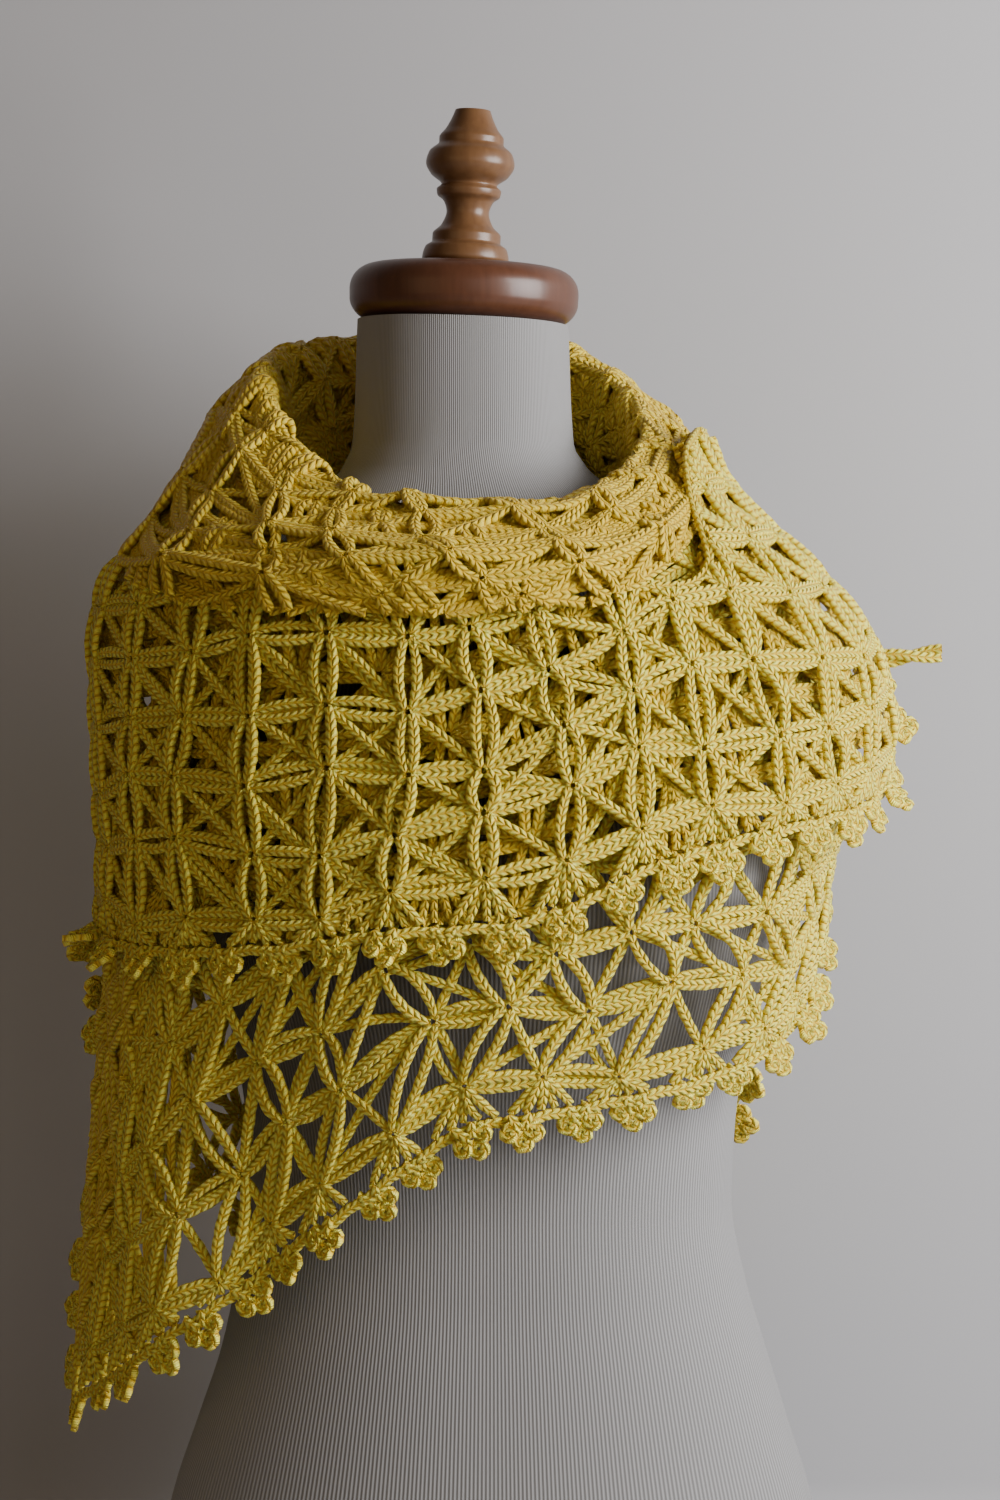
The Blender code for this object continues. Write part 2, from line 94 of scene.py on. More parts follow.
# The cloth's inner face, its folds, and the run of its border, as in the part
WALL = 3.5
MID_WALL = 1.9
DRAPE_ROUNDNESS = 2.1
DRAPE_RINGS = [Ring(*row) for row in (
    (110, 227, 172, 126, 141), (160, 225, 170, 124, 140), (200, 222, 168, 124, 139),
    (240, 219, 168, 126, 138), (280, 216, 169, 130, 137), (320, 213, 170, 136, 136),
    (370, 207, 172, 145, 135), (400, 203, 177, 149, 134), (440, 199, 184, 150, 133),
    (480, 199, 192, 149, 132), (520, 199, 196, 147, 131), (560, 199, 190, 144, 130),
    (580, 196, 179, 140, 128), (600, 187, 164, 134, 125), (620, 163, 144, 126, 121),
    (640, 138, 125, 118, 116), (660, 120, 113, 112, 109), (680, 110, 106, 106, 102),
    (700, 102, 97, 100, 95),
)]
Fold = namedtuple("Fold", "turn depth width height reach")
FOLDS = [Fold(*row) for row in (
    (283, -5, 6, 250, 130), (298, 7, 7, 250, 110), (313, -6, 7, 250, 90), (290, 4, 9, 480, 60),
    (338, 4, 9, 345, 70), (18, -4, 9, 350, 60), (55, 5, 9, 390, 60), (80, -4, 8, 440, 60),
    (130, 6, 9, 360, 140), (150, -6, 9, 320, 150), (172, 8, 9, 260, 160), (196, -7, 9, 260, 160),
    (216, 8, 9, 300, 150), (238, -6, 8, 350, 130),
)]
Edge = namedtuple("Edge", "turn border top lift")
EDGES = [Edge(*row) for row in (
    (-88, 150, 600, 0), (-72, 180, 602, 0), (-60, 209, 602, 0), (-43, 254, 600, 0), (-34, 270, 597, 0),
    (-18, 300, 592, 0), (-4, 321, 590, 0), (12, 327, 592, 0), (28, 334, 598, 0), (43, 341, 608, 0),
    (60, 356, 625, 0), (73, 373, 638, 0), (83, 397, 643, 0), (92, 426, 646, 0), (99, 449, 652, 0),
    (104, 457, 665, 0), (109, 443, 676, 0), (113, 403, 682, 0), (117, 357, 686, 0), (121, 318, 689, 0),
    (126, 287, 692, 0), (135, 252, 697, 0), (150, 212, 700, 0), (168, 167, 702, 0), (186, 143, 703, 0),
    (204, 167, 700, 2), (222, 211, 694, 4), (236, 252, 686, 6.5), (245, 291, 680, 8),
    (251, 330, 676, 9), (258, 370, 671, 9.5), (265, 400, 666, 10), (272, 411, 660, 10),
    (288, 408, 640, 10), (300, 407, 625, 10), (319, 411, 606, 10), (346, 422, 598, 11),
    (362, 425, 597, 11), (374, 434, 597, 11), (387, 452, 593, 11), (400, 463, 594, 11.5),
    (407, 468, 604, 13), (414, 472, 640, 16), (424, 477, 668, 19), (436, 483, 677, 20.5),
    (446, 492, 674, 21), (453, 512, 658, 21), (458, 533, 630, 21), (463, 552, 590, 21),
)]
Stretch = namedtuple("Stretch", "name start end extra")  # extra is how many more odd chains it has
UNDER = Stretch("under", -88, 95, 1.9)
BACK = Stretch("back", 95, 268, 0.7)
OVER = Stretch("over", 268, 463, 1.2)
FREE_SIDE = UNDER.start
LAST_TURN = OVER.end
CORNER_TURN = -80  # where the hanging corner's distance from the centre line is measured
PROBE = 2.0  # half the step in millimetres that a slope up the cloth is measured over
SPREAD_WINDOW = 13
MOST_SPREAD = 1.6

# The cowl's sections, as in the part
Cowl = namedtuple("Cowl", "turn foot rim_radius rim swell_radius swell hem")
COWL = [Cowl(*row) for row in (
    (-90, 634, 109, 711, 137, 683, 650), (-75, 627, 107, 696, 147, 655, 612),
    (-60, 618, 107, 676, 157, 632, 590), (-40, 608, 110, 651, 164, 612, 579),
    (-20, 603, 115, 638, 166, 606, 577), (0, 602, 118, 635, 165, 605, 577),
    (20, 603, 115, 637, 162, 609, 583), (40, 607, 112, 648, 149, 626, 606),
    (62, 618, 105, 668, 131, 651, 632), (90, 636, 95, 690, 122, 672, 655),
    (120, 648, 89, 714, 118, 694, 670), (150, 658, 86, 732, 117, 707, 678),
    (180, 662, 87, 737, 118, 711, 680), (210, 658, 92, 736, 122, 709, 677),
    (240, 648, 101, 729, 129, 701, 668),
)]
HEM_GAP = 3.2
FOOT_GAP = 2.2
CROSSING = (28, 52)
OUTER_FROM = 2.2  # the cowl's outer fold starts here, counted in points of its section
CLEAR_ABOVE = 8
THROAT_DIP = 4

# The lace: stars in rows along the border, joined to their neighbours by pairs of chains
Wave = namedtuple("Wave", "size along up start")
STAR_SPACING = 40
ROW_SPACING = 33
LACE_ROWS = (-8, 18)
RowLine = namedtuple("RowLine", "turn height lean")
ROW_LINES = [RowLine(*row) for row in (
    (-88, 150, 0.5), (-60, 209, 0.5), (-34, 270, 0.5), (-4, 318, 0.5), (28, 333, 0.5), (60, 354, 0.5),
    (83, 372, 0.5), (104, 375, 0.5), (126, 362, 0.5), (150, 340, 0.5), (186, 325, 0.5), (222, 335, 0.4),
    (245, 365, 0.25), (268, 400, 0.1), (300, 407, 0), (346, 422, 0), (374, 434, 0), (400, 463, 0),
    (424, 477, 0), (446, 492, 0), (463, 520, 0),
)]
CORNER_ROW = 18
CORNER_ROWS = 5
CORNER_STARS = (-3, 14)
CORNER_SPREAD = 105
CORNER_BEND = 0.55
CURTAIN_CHAINS = 15
CURTAIN_SPACING = 6.6
CURTAIN_START = 5
CURTAIN_RUN = (4.0, 288.0, 6.0)
CURTAIN_SWAY = Wave(2.2, 21, 1, 0)
CURTAIN_RIPPLE = Wave(1.1, 15, 1, 0)
CURTAIN_LEAN = 0.035
CURTAIN_TOP = 445
CURTAIN_DEPTH = 1.2
CURTAIN_RADIUS = 2.5
# painted shade of the curtain, which lies a little behind the corner's stars
CURTAIN_SHADED_TONE = 0.4
COWL_STARS = 20
COWL_ROWS = 9
COWL_START = -4
COWL_STEP = 20.5
COWL_LEAN = 0.14  # how far each row of the cowl is moved on from the one below, in stars
COWL_LENGTH = 160
COWL_WAVE = Wave(2.6, 8.0, 13, 0)  # how far the cowl's knots stand out or sink, by turns
CHAIN_RADIUS = 2.75
CHAIN_ENDS = (0.03, 0.97)
CHAIN_SIZES = (0.92, 1.08)
PAIR_GAP = 0.8  # half the space between the two chains of a pair, at their knots
PAIR_SPREAD = 0.5  # the next three are how much chains differ at random, in millimetres
SIDE_SPREAD = 0.7
RISE_SPREAD = 0.6
FEWEST_SAMPLES = 3
KNOT_SIZE = 0.72  # a chain's size at its knots, beside its full size
BOW_SIZE = 0.28  # how much of its size it gains between them
BOW_ROUNDNESS = 0.7
SAMPLES = 17
SWAY = (Wave(5.0, 61, 37, 0), Wave(2.5, 23, -29, 0))  # how the rows wander from even ones
DROP = (Wave(5.0, 47, -53, 1), Wave(2.5, 19, 31, 0))
Arm = namedtuple("Arm", "ahead up sides splay rise size share")
ARMS = (
    Arm(1, 0, (-1, 1), 2.4, -0.5, 1.05, 1.0),
    Arm(0, 1, (-1, 1), 4.4, 1.7, 1.08, 1.0),
    Arm(-1, 1, (0,), 0.0, -0.6, 1.0, 1.0),
    Arm(-1, 1, (1,), 3.0, -1.2, 0.9, 0.3),
    Arm(1, 1, (0,), 0.0, -1.6, 0.95, 0.35),
    Arm(1, 0, (0,), 0.0, -2.2, 0.9, 0.5),
)
FAN = Arm(0, 0, (0,), 0.0, 0.6, 0.95, 1.0)
FAN_CHAINS = 5
FAN_REACH = 36
STITCH = 4.3
# the tones are painted light and shade: lower ones colour a layer darker and more orange, as if in shade
OUTER_TONE = 0.7  # 1 is the lightest yarn and 0 the most orange
# painted shade: the cowl and the layers behind other lace get low tones
COWL_SHADED_TONE = 0.15
INNER_SHADED_TONE = 0.0
TONE_SPREAD = 0.3
LaceStyle = namedtuple("LaceStyle", "radius splay raise_knot jitter tone sag extra")
WOUND_STYLE = LaceStyle(CHAIN_RADIUS, 1.0, 0.8, 2.0, OUTER_TONE, 0.0, 1)
BACKING_STYLE = LaceStyle(CHAIN_RADIUS, 0.8, -5.0, 2.0, INNER_SHADED_TONE, 0.0, 1.7)
CORNER_STYLE = LaceStyle(CHAIN_RADIUS, 0.9, 0.5, 1.5, OUTER_TONE, 0.0, 1)
COWL_STYLE = LaceStyle(CHAIN_RADIUS, 0.65, 2.6, 3.0, COWL_SHADED_TONE, 2.2, 1)
COWL_INNER_STYLE = LaceStyle(CHAIN_RADIUS * 1.1, 0.65, -2.6, 2.5, INNER_SHADED_TONE, 0.0, 2.6)
STAGGERED_FROM = 0.25  # the lean of the rows from which their slanted chains lean both ways
SEED = 7

# The edging: picot trefoils along the border, hung on a cord
TREFOIL_WIDTH = 30
SIDE_TOP = 425
Loop = namedtuple("Loop", "across depth radius")
TREFOIL = (Loop(-6.0, 9.0, 2.9), Loop(6.0, 9.4, 2.9), Loop(0, 14.2, 3.0))
LOOP_ENDS = (-0.3, 2 * math.pi - 0.25)
LOOP_SAMPLES = 13
LOOP_SIZES = (0.9, 1.08)
TREFOIL_TIPS = (0.1, 0.26)  # the middle and the spread of how far trefoils are tipped
TREFOIL_TURNS = (0, 0.2)
TREFOIL_SIZES = (0.98, 1.14)
PICOT_RADIUS = 2.75
LEG_RADIUS = 2.8
LEG_FOOT = 5.5
LEG_TOP = 8.5
Flare = namedtuple("Flare", "turn tip")
FLARES = [Flare(*row) for row in (
    (-88, 0), (50, 0), (85, 0.65), (110, 0.5), (130, 0), (250, 0), (272, 0.7), (290, 0.4), (310, 0),
    (415, 0), (445, 0.8), (463, 0.9),
)]
CORNER_TOP = 590  # where the chain between the corner and the rest of the lace ends
Cord = namedtuple("Cord", "drop radius tone")
BORDER_CORD = Cord(2.2, 2.9, 0.8)
SIDE_CORDS = (Cord(0.6, 2.5, 0.4), Cord(3.2, 2.4, 0.6))
TOP_CORD = Cord(1.5, 2.4, 0.5)
END_CORD = Cord(0, 2.5, 0.5)
CORNER_CORD = Cord(0, 2.3, 0.5)
CORD_STEP = 3.0
CORD_SCALLOP = 1.6
TAIL_RADIUS = 3.4
TAIL_TWIST = 2.3

# The lace's pieces, with the CAD node that each one replaces and the spacing of its rings in metres
LacePiece = namedtuple("LacePiece", "name node rings")
LACE_PIECES = [LacePiece(*row) for row in (
    ("under", "under_front", 0.0029),
    ("corner", "under_front", 0.0032),
    ("back", "back_panel", 0.0034),
    ("over", "over_front", 0.0026),
    ("over_inner", "over_front", 0.0044),
    ("cowl", "neck_cowl", 0.0030),
    ("cowl_inner", "neck_cowl", 0.0044),
    ("under_picots", "under_edging", 0.0019),
    ("side_picots", "side_edging", 0.0019),
    ("back_picots", "back_edging", 0.0022),
    ("over_picots", "over_edging", 0.0019),
    ("tail", "corner_tail", 0.0019),
)]
SWEEP = {"Ring Spacing": 0.0026, "Stitch": STITCH * MM, "Bulge": 0.09, "Flatness": 0.84, "Groove": 0.45}
SWEEP_SIDES = 7

# The finishes, as they look in this light
# painted shade: the deep orange the yarn turns in its grooves, on its side turned in, and on the layers
# behind
YARN_SHADE = (0.99, 0.58, 0.015)
# the yarn's own lemon yellow, lightest on the stitch tips, where it is also a painted highlight
YARN_PALE = (1.0, 1.0, 0.16)
YARN_GLOW = (1.0, 0.66, 0.05)
YARN_GLOSS = (0.94, 1.0, 0.5)
YARN_SHEEN = (1.0, 0.9, 0.45)
# painted shade for the valleys between the jersey's ribs, then the jersey's own off-white
JERSEY_VALLEY_SHADE = (0.14, 0.138, 0.135)
JERSEY_RIB = (0.26, 0.256, 0.256)
Wood = namedtuple("Wood", "name light dark roughness")
CAP_WOOD = Wood("cap_wood", (0.10, 0.038, 0.019), (0.052, 0.018, 0.008), 0.36)
FINIAL_WOOD = Wood("finial_wood", (0.165, 0.082, 0.034), (0.085, 0.037, 0.014), 0.34)

# The room and the camera, in metres
WALL_PAINT = (0.36, 0.358, 0.368)
STAGE_WIDTH, STAGE_BACK, STAGE_FRONT, STAGE_HEIGHT = 4.0, 0.22, -4.0, 3.2
STAGE_BEND = 0.05
STAGE_DROP = 0.0005
BEND_STEPS = 12
Lamp = namedtuple("Lamp", "name at towards size power colour")
LAMPS = (
    Lamp("window", (1.22, -0.58, 0.90), (0.08, 0.0, 0.52), 0.9, 52, (1.0, 0.99, 1.0)),
    Lamp("fill", (-1.6, -2.2, 0.9), (0, 0, 0.4), 1.8, 7.0, (1.0, 0.66, 0.36)),
    Lamp("front", (0.8, -2.4, 1.0), (0, 0, 0.4), 1.2, 4.8, (1.0, 0.95, 0.88)),
)
ROOM_COLOUR = (0.88, 0.74, 0.52)
ROOM_STRENGTH = 0.13
CAMERA_AT = (0.005, -1.9, 0.575)
CAMERA_DIP = 2.126
LENS = 84
SENSOR = 36


def curve(places, values):
    """A smooth line through the values, with no overshoot between them, as a function of place."""
    x = np.array(places, float)
    y = np.array(values, float)
    step = np.diff(x)
    rise = np.diff(y) / step
    slope = np.zeros(len(x))
    slope[0], slope[-1] = rise[0], rise[-1]
    for k in range(1, len(x) - 1):
        if rise[k - 1] * rise[k] > 0:
            near, far = 2 * step[k] + step[k - 1], step[k] + 2 * step[k - 1]
            slope[k] = (near + far) / (near / rise[k - 1] + far / rise[k])

    def at(place):
        p = np.clip(np.asarray(place, float), x[0], x[-1])
        k = np.clip(np.searchsorted(x, p, side="right") - 1, 0, len(step) - 1)
        t = (p - x[k]) / step[k]
        start = (1 + 2 * t) * (1 - t) ** 2 * y[k] + t * (1 - t) ** 2 * step[k] * slope[k]
        end = t * t * (3 - 2 * t) * y[k + 1] + t * t * (t - 1) * step[k] * slope[k + 1]
        return start + end

    return at


def table_curve(rows, place, value):
    """curve() for two named columns of a table, both in the table's own units."""
    return curve([getattr(r, place) for r in rows], [getattr(r, value) for r in rows])


def smooth_step(low, high, value):
    """0 below low, 1 above high, and a soft slope between them."""
    t = np.clip((value - low) / (high - low), 0, 1)
    return t * t * (3 - 2 * t)


def unit(vectors):
    """Vectors turned to length 1, along their last axis."""
    return vectors / np.linalg.norm(vectors, axis=-1)[..., None]


def run_along(points):
    """The distance along a line of points, at each of them."""
    return np.concatenate([[0], np.cumsum(np.linalg.norm(np.diff(points, axis=0), axis=1))])


centre_x = table_curve(CENTRE_LINE, "height", "x")


def ring_radius(rings, roundness):
    """The distance from the centre line to a surface of rings, by turn and height."""
    sides = {name: table_curve(rings, "height", name) for name in Ring._fields[1:]}

    def at(turn, height):
        a = np.radians(turn)
        across = np.where(np.sin(a) < 0, sides["left"](height), sides["right"](height))
        along = np.where(np.cos(a) > 0, sides["front"](height), sides["back"](height))
        total = np.abs(np.sin(a) / across) ** roundness + np.abs(np.cos(a) / along) ** roundness
        return total ** (-1 / roundness)

    return at


form_radius = ring_radius(FORM_RINGS, FORM_ROUNDNESS)
drape_smooth = ring_radius(DRAPE_RINGS, DRAPE_ROUNDNESS)


def drape_radius(turn, height):
    """The cloth's inner face, with its soft folds."""
    radius = drape_smooth(turn, height)
    for fold in FOLDS:
        away = (np.asarray(turn) - fold.turn + 180) % 360 - 180
        bell = (away / fold.width) ** 2 + ((height - fold.height) / fold.reach) ** 2
        radius = radius + fold.depth * np.exp(-bell)
    return radius


border_at = table_curve(EDGES, "turn", "border")
top_at = table_curve(EDGES, "turn", "top")
lift_at = table_curve(EDGES, "turn", "lift")
row_line = table_curve(ROW_LINES, "turn", "height")
lean_at = table_curve(ROW_LINES, "turn", "lean")
flare_at = table_curve(FLARES, "turn", "tip")


def place(turn, height, radius):
    """Points round the centre line, in millimetres, in a last axis of three."""
    a = np.radians(turn)
    x = centre_x(height) + radius * np.sin(a)
    y = -radius * np.cos(a)
    return np.stack(np.broadcast_arrays(x, y, height), axis=-1)


def on_cloth(turn, height, out=0.0):
    """Points on the cloth's inner face, or that far out from it."""
    return place(turn, height, drape_radius(turn, height) + lift_at(turn) + out)


def bilinear(table, row, column):
    """A table's values at fractional rows and columns."""
    r = np.clip(row, 0, table.shape[0] - 1.001)
    c = np.clip(column, 0, table.shape[1] - 1.001)
    r0, c0 = r.astype(int), c.astype(int)
    fr, fc = r - r0, c - c0
    if table.ndim == 3:
        fr, fc = fr[..., None], fc[..., None]
    low = table[r0, c0] * (1 - fc) + table[r0, c0 + 1] * fc
    high = table[r0 + 1, c0] * (1 - fc) + table[r0 + 1, c0 + 1] * fc
    return low * (1 - fr) + high * fr


class Laid:
    """A stretch of cloth laid out by u and v, whose where() gives turns and heights."""

    def point(self, u, v, out):
        turn, height = self.where(u, v)
        return on_cloth(turn, height, out)


class Spiral(Laid):
    """The wound triangle, laid out by u along its rows and v up from the row line."""

    TURN_STEP = 2.0
    RISE_STEP = 5.0
    BELOW = 280.0
    ABOVE = 620.0

    def __init__(self):
        self.turns = np.arange(FREE_SIDE - 12, LAST_TURN + 12, self.TURN_STEP)
        self.run = run_along(on_cloth(self.turns, row_line(self.turns)))
        level = np.radians(self.TURN_STEP) * drape_smooth(self.turns, row_line(self.turns))
        steep = np.gradient(row_line(self.turns)) / level
        window = np.hanning(SPREAD_WINDOW) / np.hanning(SPREAD_WINDOW).sum()
        padded = np.pad(np.sqrt(1 + steep**2), SPREAD_WINDOW // 2, "edge")
        self.spread = np.minimum(np.convolve(padded, window, "valid"), MOST_SPREAD)
        up = self.march(self.ABOVE, 1)
        down = self.march(self.BELOW, -1)
        self.heights = np.concatenate([down[:, :0:-1], up], axis=1)

    def march(self, reach, sign):
        """Heights up or down the cloth from the row line, for each turn, wider apart where it is steep."""
        height = row_line(self.turns)
        found = [height]
        for _ in range(int(reach / self.RISE_STEP)):
            above, below = (drape_radius(self.turns, height + step) for step in (PROBE, -PROBE))
            lean = (above - below) / (2 * PROBE)
            height = height + sign * self.RISE_STEP * self.spread / np.sqrt(1 + lean**2)
            found.append(height)
        return np.stack(found, axis=1)

    def turn_at(self, u):
        return np.interp(u, self.run, self.turns)

    def where(self, u, v):
        """The turn and height of points of the lace."""
        turn = self.turn_at(u)
        row = (turn - self.turns[0]) / self.TURN_STEP
        column = (v + self.BELOW) / self.RISE_STEP
        return turn, bilinear(self.heights, row, column)

    def border_v(self, u):
        """How far up the cloth the border lies from the row line."""
        turn = self.turn_at(u)
        row = int(round((turn - self.turns[0]) / self.TURN_STEP))
        steps = np.arange(self.heights.shape[1]) * self.RISE_STEP - self.BELOW
        return float(np.interp(border_at(turn), self.heights[row], steps))

    def inside(self, u, v):
        turn, height = self.where(u, v)
        kept = (height > border_at(turn) - 0.5) & (height < top_at(turn) - 1)
        kept &= (turn > FREE_SIDE + 0.5) & (turn < LAST_TURN - 0.5)
        return kept & (corner_reach(turn, height) > spine(height))


def corner_reach(turn, height):
    """The distance round the cloth from the hanging corner's free side."""
    return np.radians(turn - FREE_SIDE) * drape_smooth(CORNER_TURN, height)


def spine(height):
    """How far from the free side the rows turn from running beside it to running beside the border."""
    rise = np.maximum(height - border_at(FREE_SIDE), 0)
    return CORNER_SPREAD * (1 - np.exp(-CORNER_BEND * rise / CORNER_SPREAD))


class Corner(Laid):
    """The hanging corner's free side, laid out by u up it and v away from it."""

    def where(self, u, v):
        height = border_at(FREE_SIDE) + u
        turn = FREE_SIDE + np.degrees(v / drape_smooth(CORNER_TURN, height))
        return turn, height

    def inside(self, u, v):
        turn, height = self.where(u, v)
        kept = (height > border_at(turn) + 1) & (height < top_at(turn) - 1)
        return kept & (turn > FREE_SIDE + 0.3) & (v < spine(height))


class Collar:
    """The cowl, laid out by u round it and v from its foot, over its rim, to its hem."""

    TURN_STEP = 4.0
    STATIONS = 49

    def __init__(self):
        self.turns = np.arange(-90, 270 + self.TURN_STEP, self.TURN_STEP)
        self.round = STAR_SPACING * COWL_STARS
        self.length = COWL_LENGTH
        rows = list(COWL) + [COWL[0]._replace(turn=270)]
        rows = [rows[-2]._replace(turn=rows[-2].turn - 360)] + rows
        rows.append(COWL[1]._replace(turn=COWL[1].turn + 360))
        at = {name: table_curve(rows, "turn", name)(self.turns) for name in Cowl._fields[1:]}
        self.sections = np.stack([self.section(k, at) for k in range(len(self.turns))])

    def section(self, k, at):
        """Equally spaced (radius, height) points of the cowl's middle surface at one turn."""
        turn = self.turns[k]
        lift, top = beneath_cowl(turn)
        foot = float(form_radius(turn, at["foot"][k])) + FOOT_GAP
        hem = float(drape_radius(turn, at["hem"][k])) + lift + 2 * WALL + HEM_GAP
        rise = at["rim"][k] - at["foot"][k]
        line = np.array([
            (foot, at["foot"][k]),
            (0.45 * foot + 0.55 * at["rim_radius"][k] - THROAT_DIP, at["foot"][k] + 0.55 * rise),
            (at["rim_radius"][k], at["rim"][k]),
            (at["swell_radius"][k], at["swell"][k]),
            (hem, at["hem"][k]),
        ])
        stations = np.linspace(0, len(line) - 1, self.STATIONS)
        face = np.stack([round_curve(line[:, axis])(stations) for axis in (0, 1)], axis=-1)
        ahead = unit(np.gradient(face, axis=0))
        away = np.stack([-ahead[:, 1], ahead[:, 0]], axis=-1)
        beneath = face - away * WALL
        bare = drape_radius(turn, beneath[:, 1]) + lift + WALL + HEM_GAP
        short = np.where(beneath[:, 1] < top + CLEAR_ABOVE, bare - beneath[:, 0], 0)
        push = np.where(stations > OUTER_FROM, np.maximum(short, 0), 0)
        middle = face - away * (WALL - MID_WALL) + push[:, None] * (1, 0)
        run = run_along(middle)
        even = np.linspace(0, run[-1], self.STATIONS)
        return np.stack([np.interp(even, run, middle[:, axis]) for axis in (0, 1)], axis=-1)

    def section_at(self, u, v):
        turn = (np.asarray(u) / self.round * 360) % 360 - 90
        row = (turn + 90) / self.TURN_STEP
        column = np.asarray(v) / self.length * (self.STATIONS - 1)
        return turn, bilinear(self.sections, row, column)

    def point(self, u, v, out):
        turn, section = self.section_at(u, v)
        ahead = unit(self.section_at(u, v + 1)[1] - self.section_at(u, v - 1)[1])
        radius = section[..., 0] - ahead[..., 1] * (out - MID_WALL)
        height = section[..., 1] + ahead[..., 0] * (out - MID_WALL)
        return place(turn, height, radius)

    def inside(self, u, v):
        return (v > 1) & (v < self.length - 1)


def round_curve(values):
    """A round line through a few values, as a function of the value's number."""
    slope = np.gradient(values)

    def at(number):
        k = np.clip(np.floor(number).astype(int), 0, len(values) - 2)
        t = number - k
        start = (1 + 2 * t) * (1 - t) ** 2 * values[k] + t * (1 - t) ** 2 * slope[k]
        end = t * t * (3 - 2 * t) * values[k + 1] + t * t * (t - 1) * slope[k + 1]
        return start + end

    return at


def beneath_cowl(turn):
    """The lift and the top edge of the layer that the cowl rests on, by turn from -90 to 270."""
    first_round = turn + 360 if turn < 0 else turn
    if turn >= UNDER.end:
        return float(lift_at(first_round)), float(top_at(first_round))
    over = 1 - float(smooth_step(*CROSSING, turn))
    lift = over * lift_at(turn + 360) + (1 - over) * lift_at(turn)
    return float(lift), float(top_at(turn + 360) if over > 0.5 else top_at(turn))


class Yarn:
    """Chains to be swept: their points in millimetres, the way their flat face looks, their size, and their
    tone, which is painted shade plus a random spread.
    """

    def __init__(self):
        self.points, self.ups, self.sizes, self.tones = [], [], [], []

    def add(self, points, ups, size, tone):
        self.points.append(np.asarray(points, float))
        self.ups.append(np.asarray(ups, float))
        self.sizes.append(np.broadcast_to(size, len(points)))
        self.tones.append(np.full(len(points), float(tone)))


def normals_on(surface, u, v, out):
    """Outward unit normals of a laid-out surface."""
    ahead = surface.point(u + 1, v, out) - surface.point(u - 1, v, out)
    up = surface.point(u, v + 1, out) - surface.point(u, v - 1, out)
    return unit(np.cross(ahead, up))


def add_arms(yarn, surface, starts, ends, arm, settings, chance):
    """Chains between stars, thin at the knots, each bowed out from the line between them."""
    t = np.linspace(*CHAIN_ENDS, SAMPLES)[None, :]
    between = ends - starts
    along = between[:, :2] / np.hypot(between[:, 0], between[:, 1])[:, None]
    bow = np.sin(math.pi * t) ** BOW_ROUNDNESS
    count = len(starts)
    for side in arm.sides:
        spread = arm.splay * settings.splay + chance.normal(0, PAIR_SPREAD, (count, 1))
        splay = side * (PAIR_GAP + bow * spread) + bow * chance.normal(0, SIDE_SPREAD, (count, 1))
        u = starts[:, :1] + between[:, :1] * t - splay * along[:, 1:2]
        v = starts[:, 1:2] + between[:, 1:2] * t + splay * along[:, :1]
        rise = bow * (arm.rise - settings.sag + chance.normal(0, RISE_SPREAD, (count, 1)))
        out = starts[:, 2:3] * (1 - t) + ends[:, 2:3] * t + rise
        kept = surface.inside(u, v)
        points = surface.point(u, v, out)
        ups = normals_on(surface, u, v, out)
        full = settings.radius * arm.size * (KNOT_SIZE + BOW_SIZE * bow)
        sizes = full * chance.uniform(*CHAIN_SIZES, (count, 1))
        tones = settings.tone + chance.uniform(0, TONE_SPREAD, count)
        for k in range(count):
            first, last = longest_run(kept[k])
            if last - first >= FEWEST_SAMPLES:
                pick = slice(first, last)
                yarn.add(points[k, pick], ups[k, pick], sizes[k, pick], tones[k])


def longest_run(kept):
    """The bounds of the longest run of true values."""
    edges = np.flatnonzero(np.diff(np.concatenate([[0], kept.astype(int), [0]])))
    if not len(edges):
        return 0, 0
    first, last = edges[::2], edges[1::2]
    best = int(np.argmax(last - first))
    return int(first[best]), int(last[best])


def lay_lace(surface, stars, settings, chance, pick, floor=None, staggered=None, extra_at=None):
    """Chains between neighbouring stars, put in the yarn that pick() names.

    Where floor() gives the border's v, fans of chains join it to the stars next to it. Where staggered()
    is true, odd rows are moved half a space on, so their slanted chains lean the other way. extra_at()
    says how many more odd chains there are than the arms' shares give.
    """
    runs = []
    for arm in ARMS:
        pairs = []
        for (i, j), star in stars.items():
            flip = -1 if staggered and j % 2 and staggered(star) else 1
            other = stars.get((i + arm.ahead * flip, j + arm.up))
            extra = settings.extra * (extra_at(star) if extra_at else 1) if arm.share < 1 else 1
            if other is not None and chance.uniform() < arm.share * extra:
                pairs.append((star, other))
        if floor:
            pairs = [(a, b) for a, b in pairs if a[1] > floor(a[0]) and b[1] > floor(b[0])]
        runs.append((arm, pairs))
    if floor:
        fans = [fan_of(star, surface, floor, chance) for star in stars.values()]
        runs.append((FAN, sum(fans, [])))
    yarns = {}
    for arm, pairs in runs:
        groups = {}
        for a, b in pairs:
            groups.setdefault(pick((a + b) / 2), []).append((a, b))
        for name, group in groups.items():
            starts, ends = np.array([a for a, _ in group]), np.array([b for _, b in group])
            add_arms(yarns.setdefault(name, Yarn()), surface, starts, ends, arm, settings, chance)
    return yarns


def fan_of(star, surface, floor, chance):
    """The ends of the chains that fan out from a star to the border below it."""
    gap = star[1] - floor(star[0])
    if not 4 < gap < FAN_REACH or not surface.inside(star[:1], star[1:2])[0]:
        return []
    steps = (np.arange(FAN_CHAINS) - (FAN_CHAINS - 1) / 2) * STAR_SPACING / FAN_CHAINS
    across = star[0] + steps + chance.normal(0, 0.8, FAN_CHAINS)
    return [(star, np.array([u, floor(u) + 0.5, MID_WALL])) for u in across]


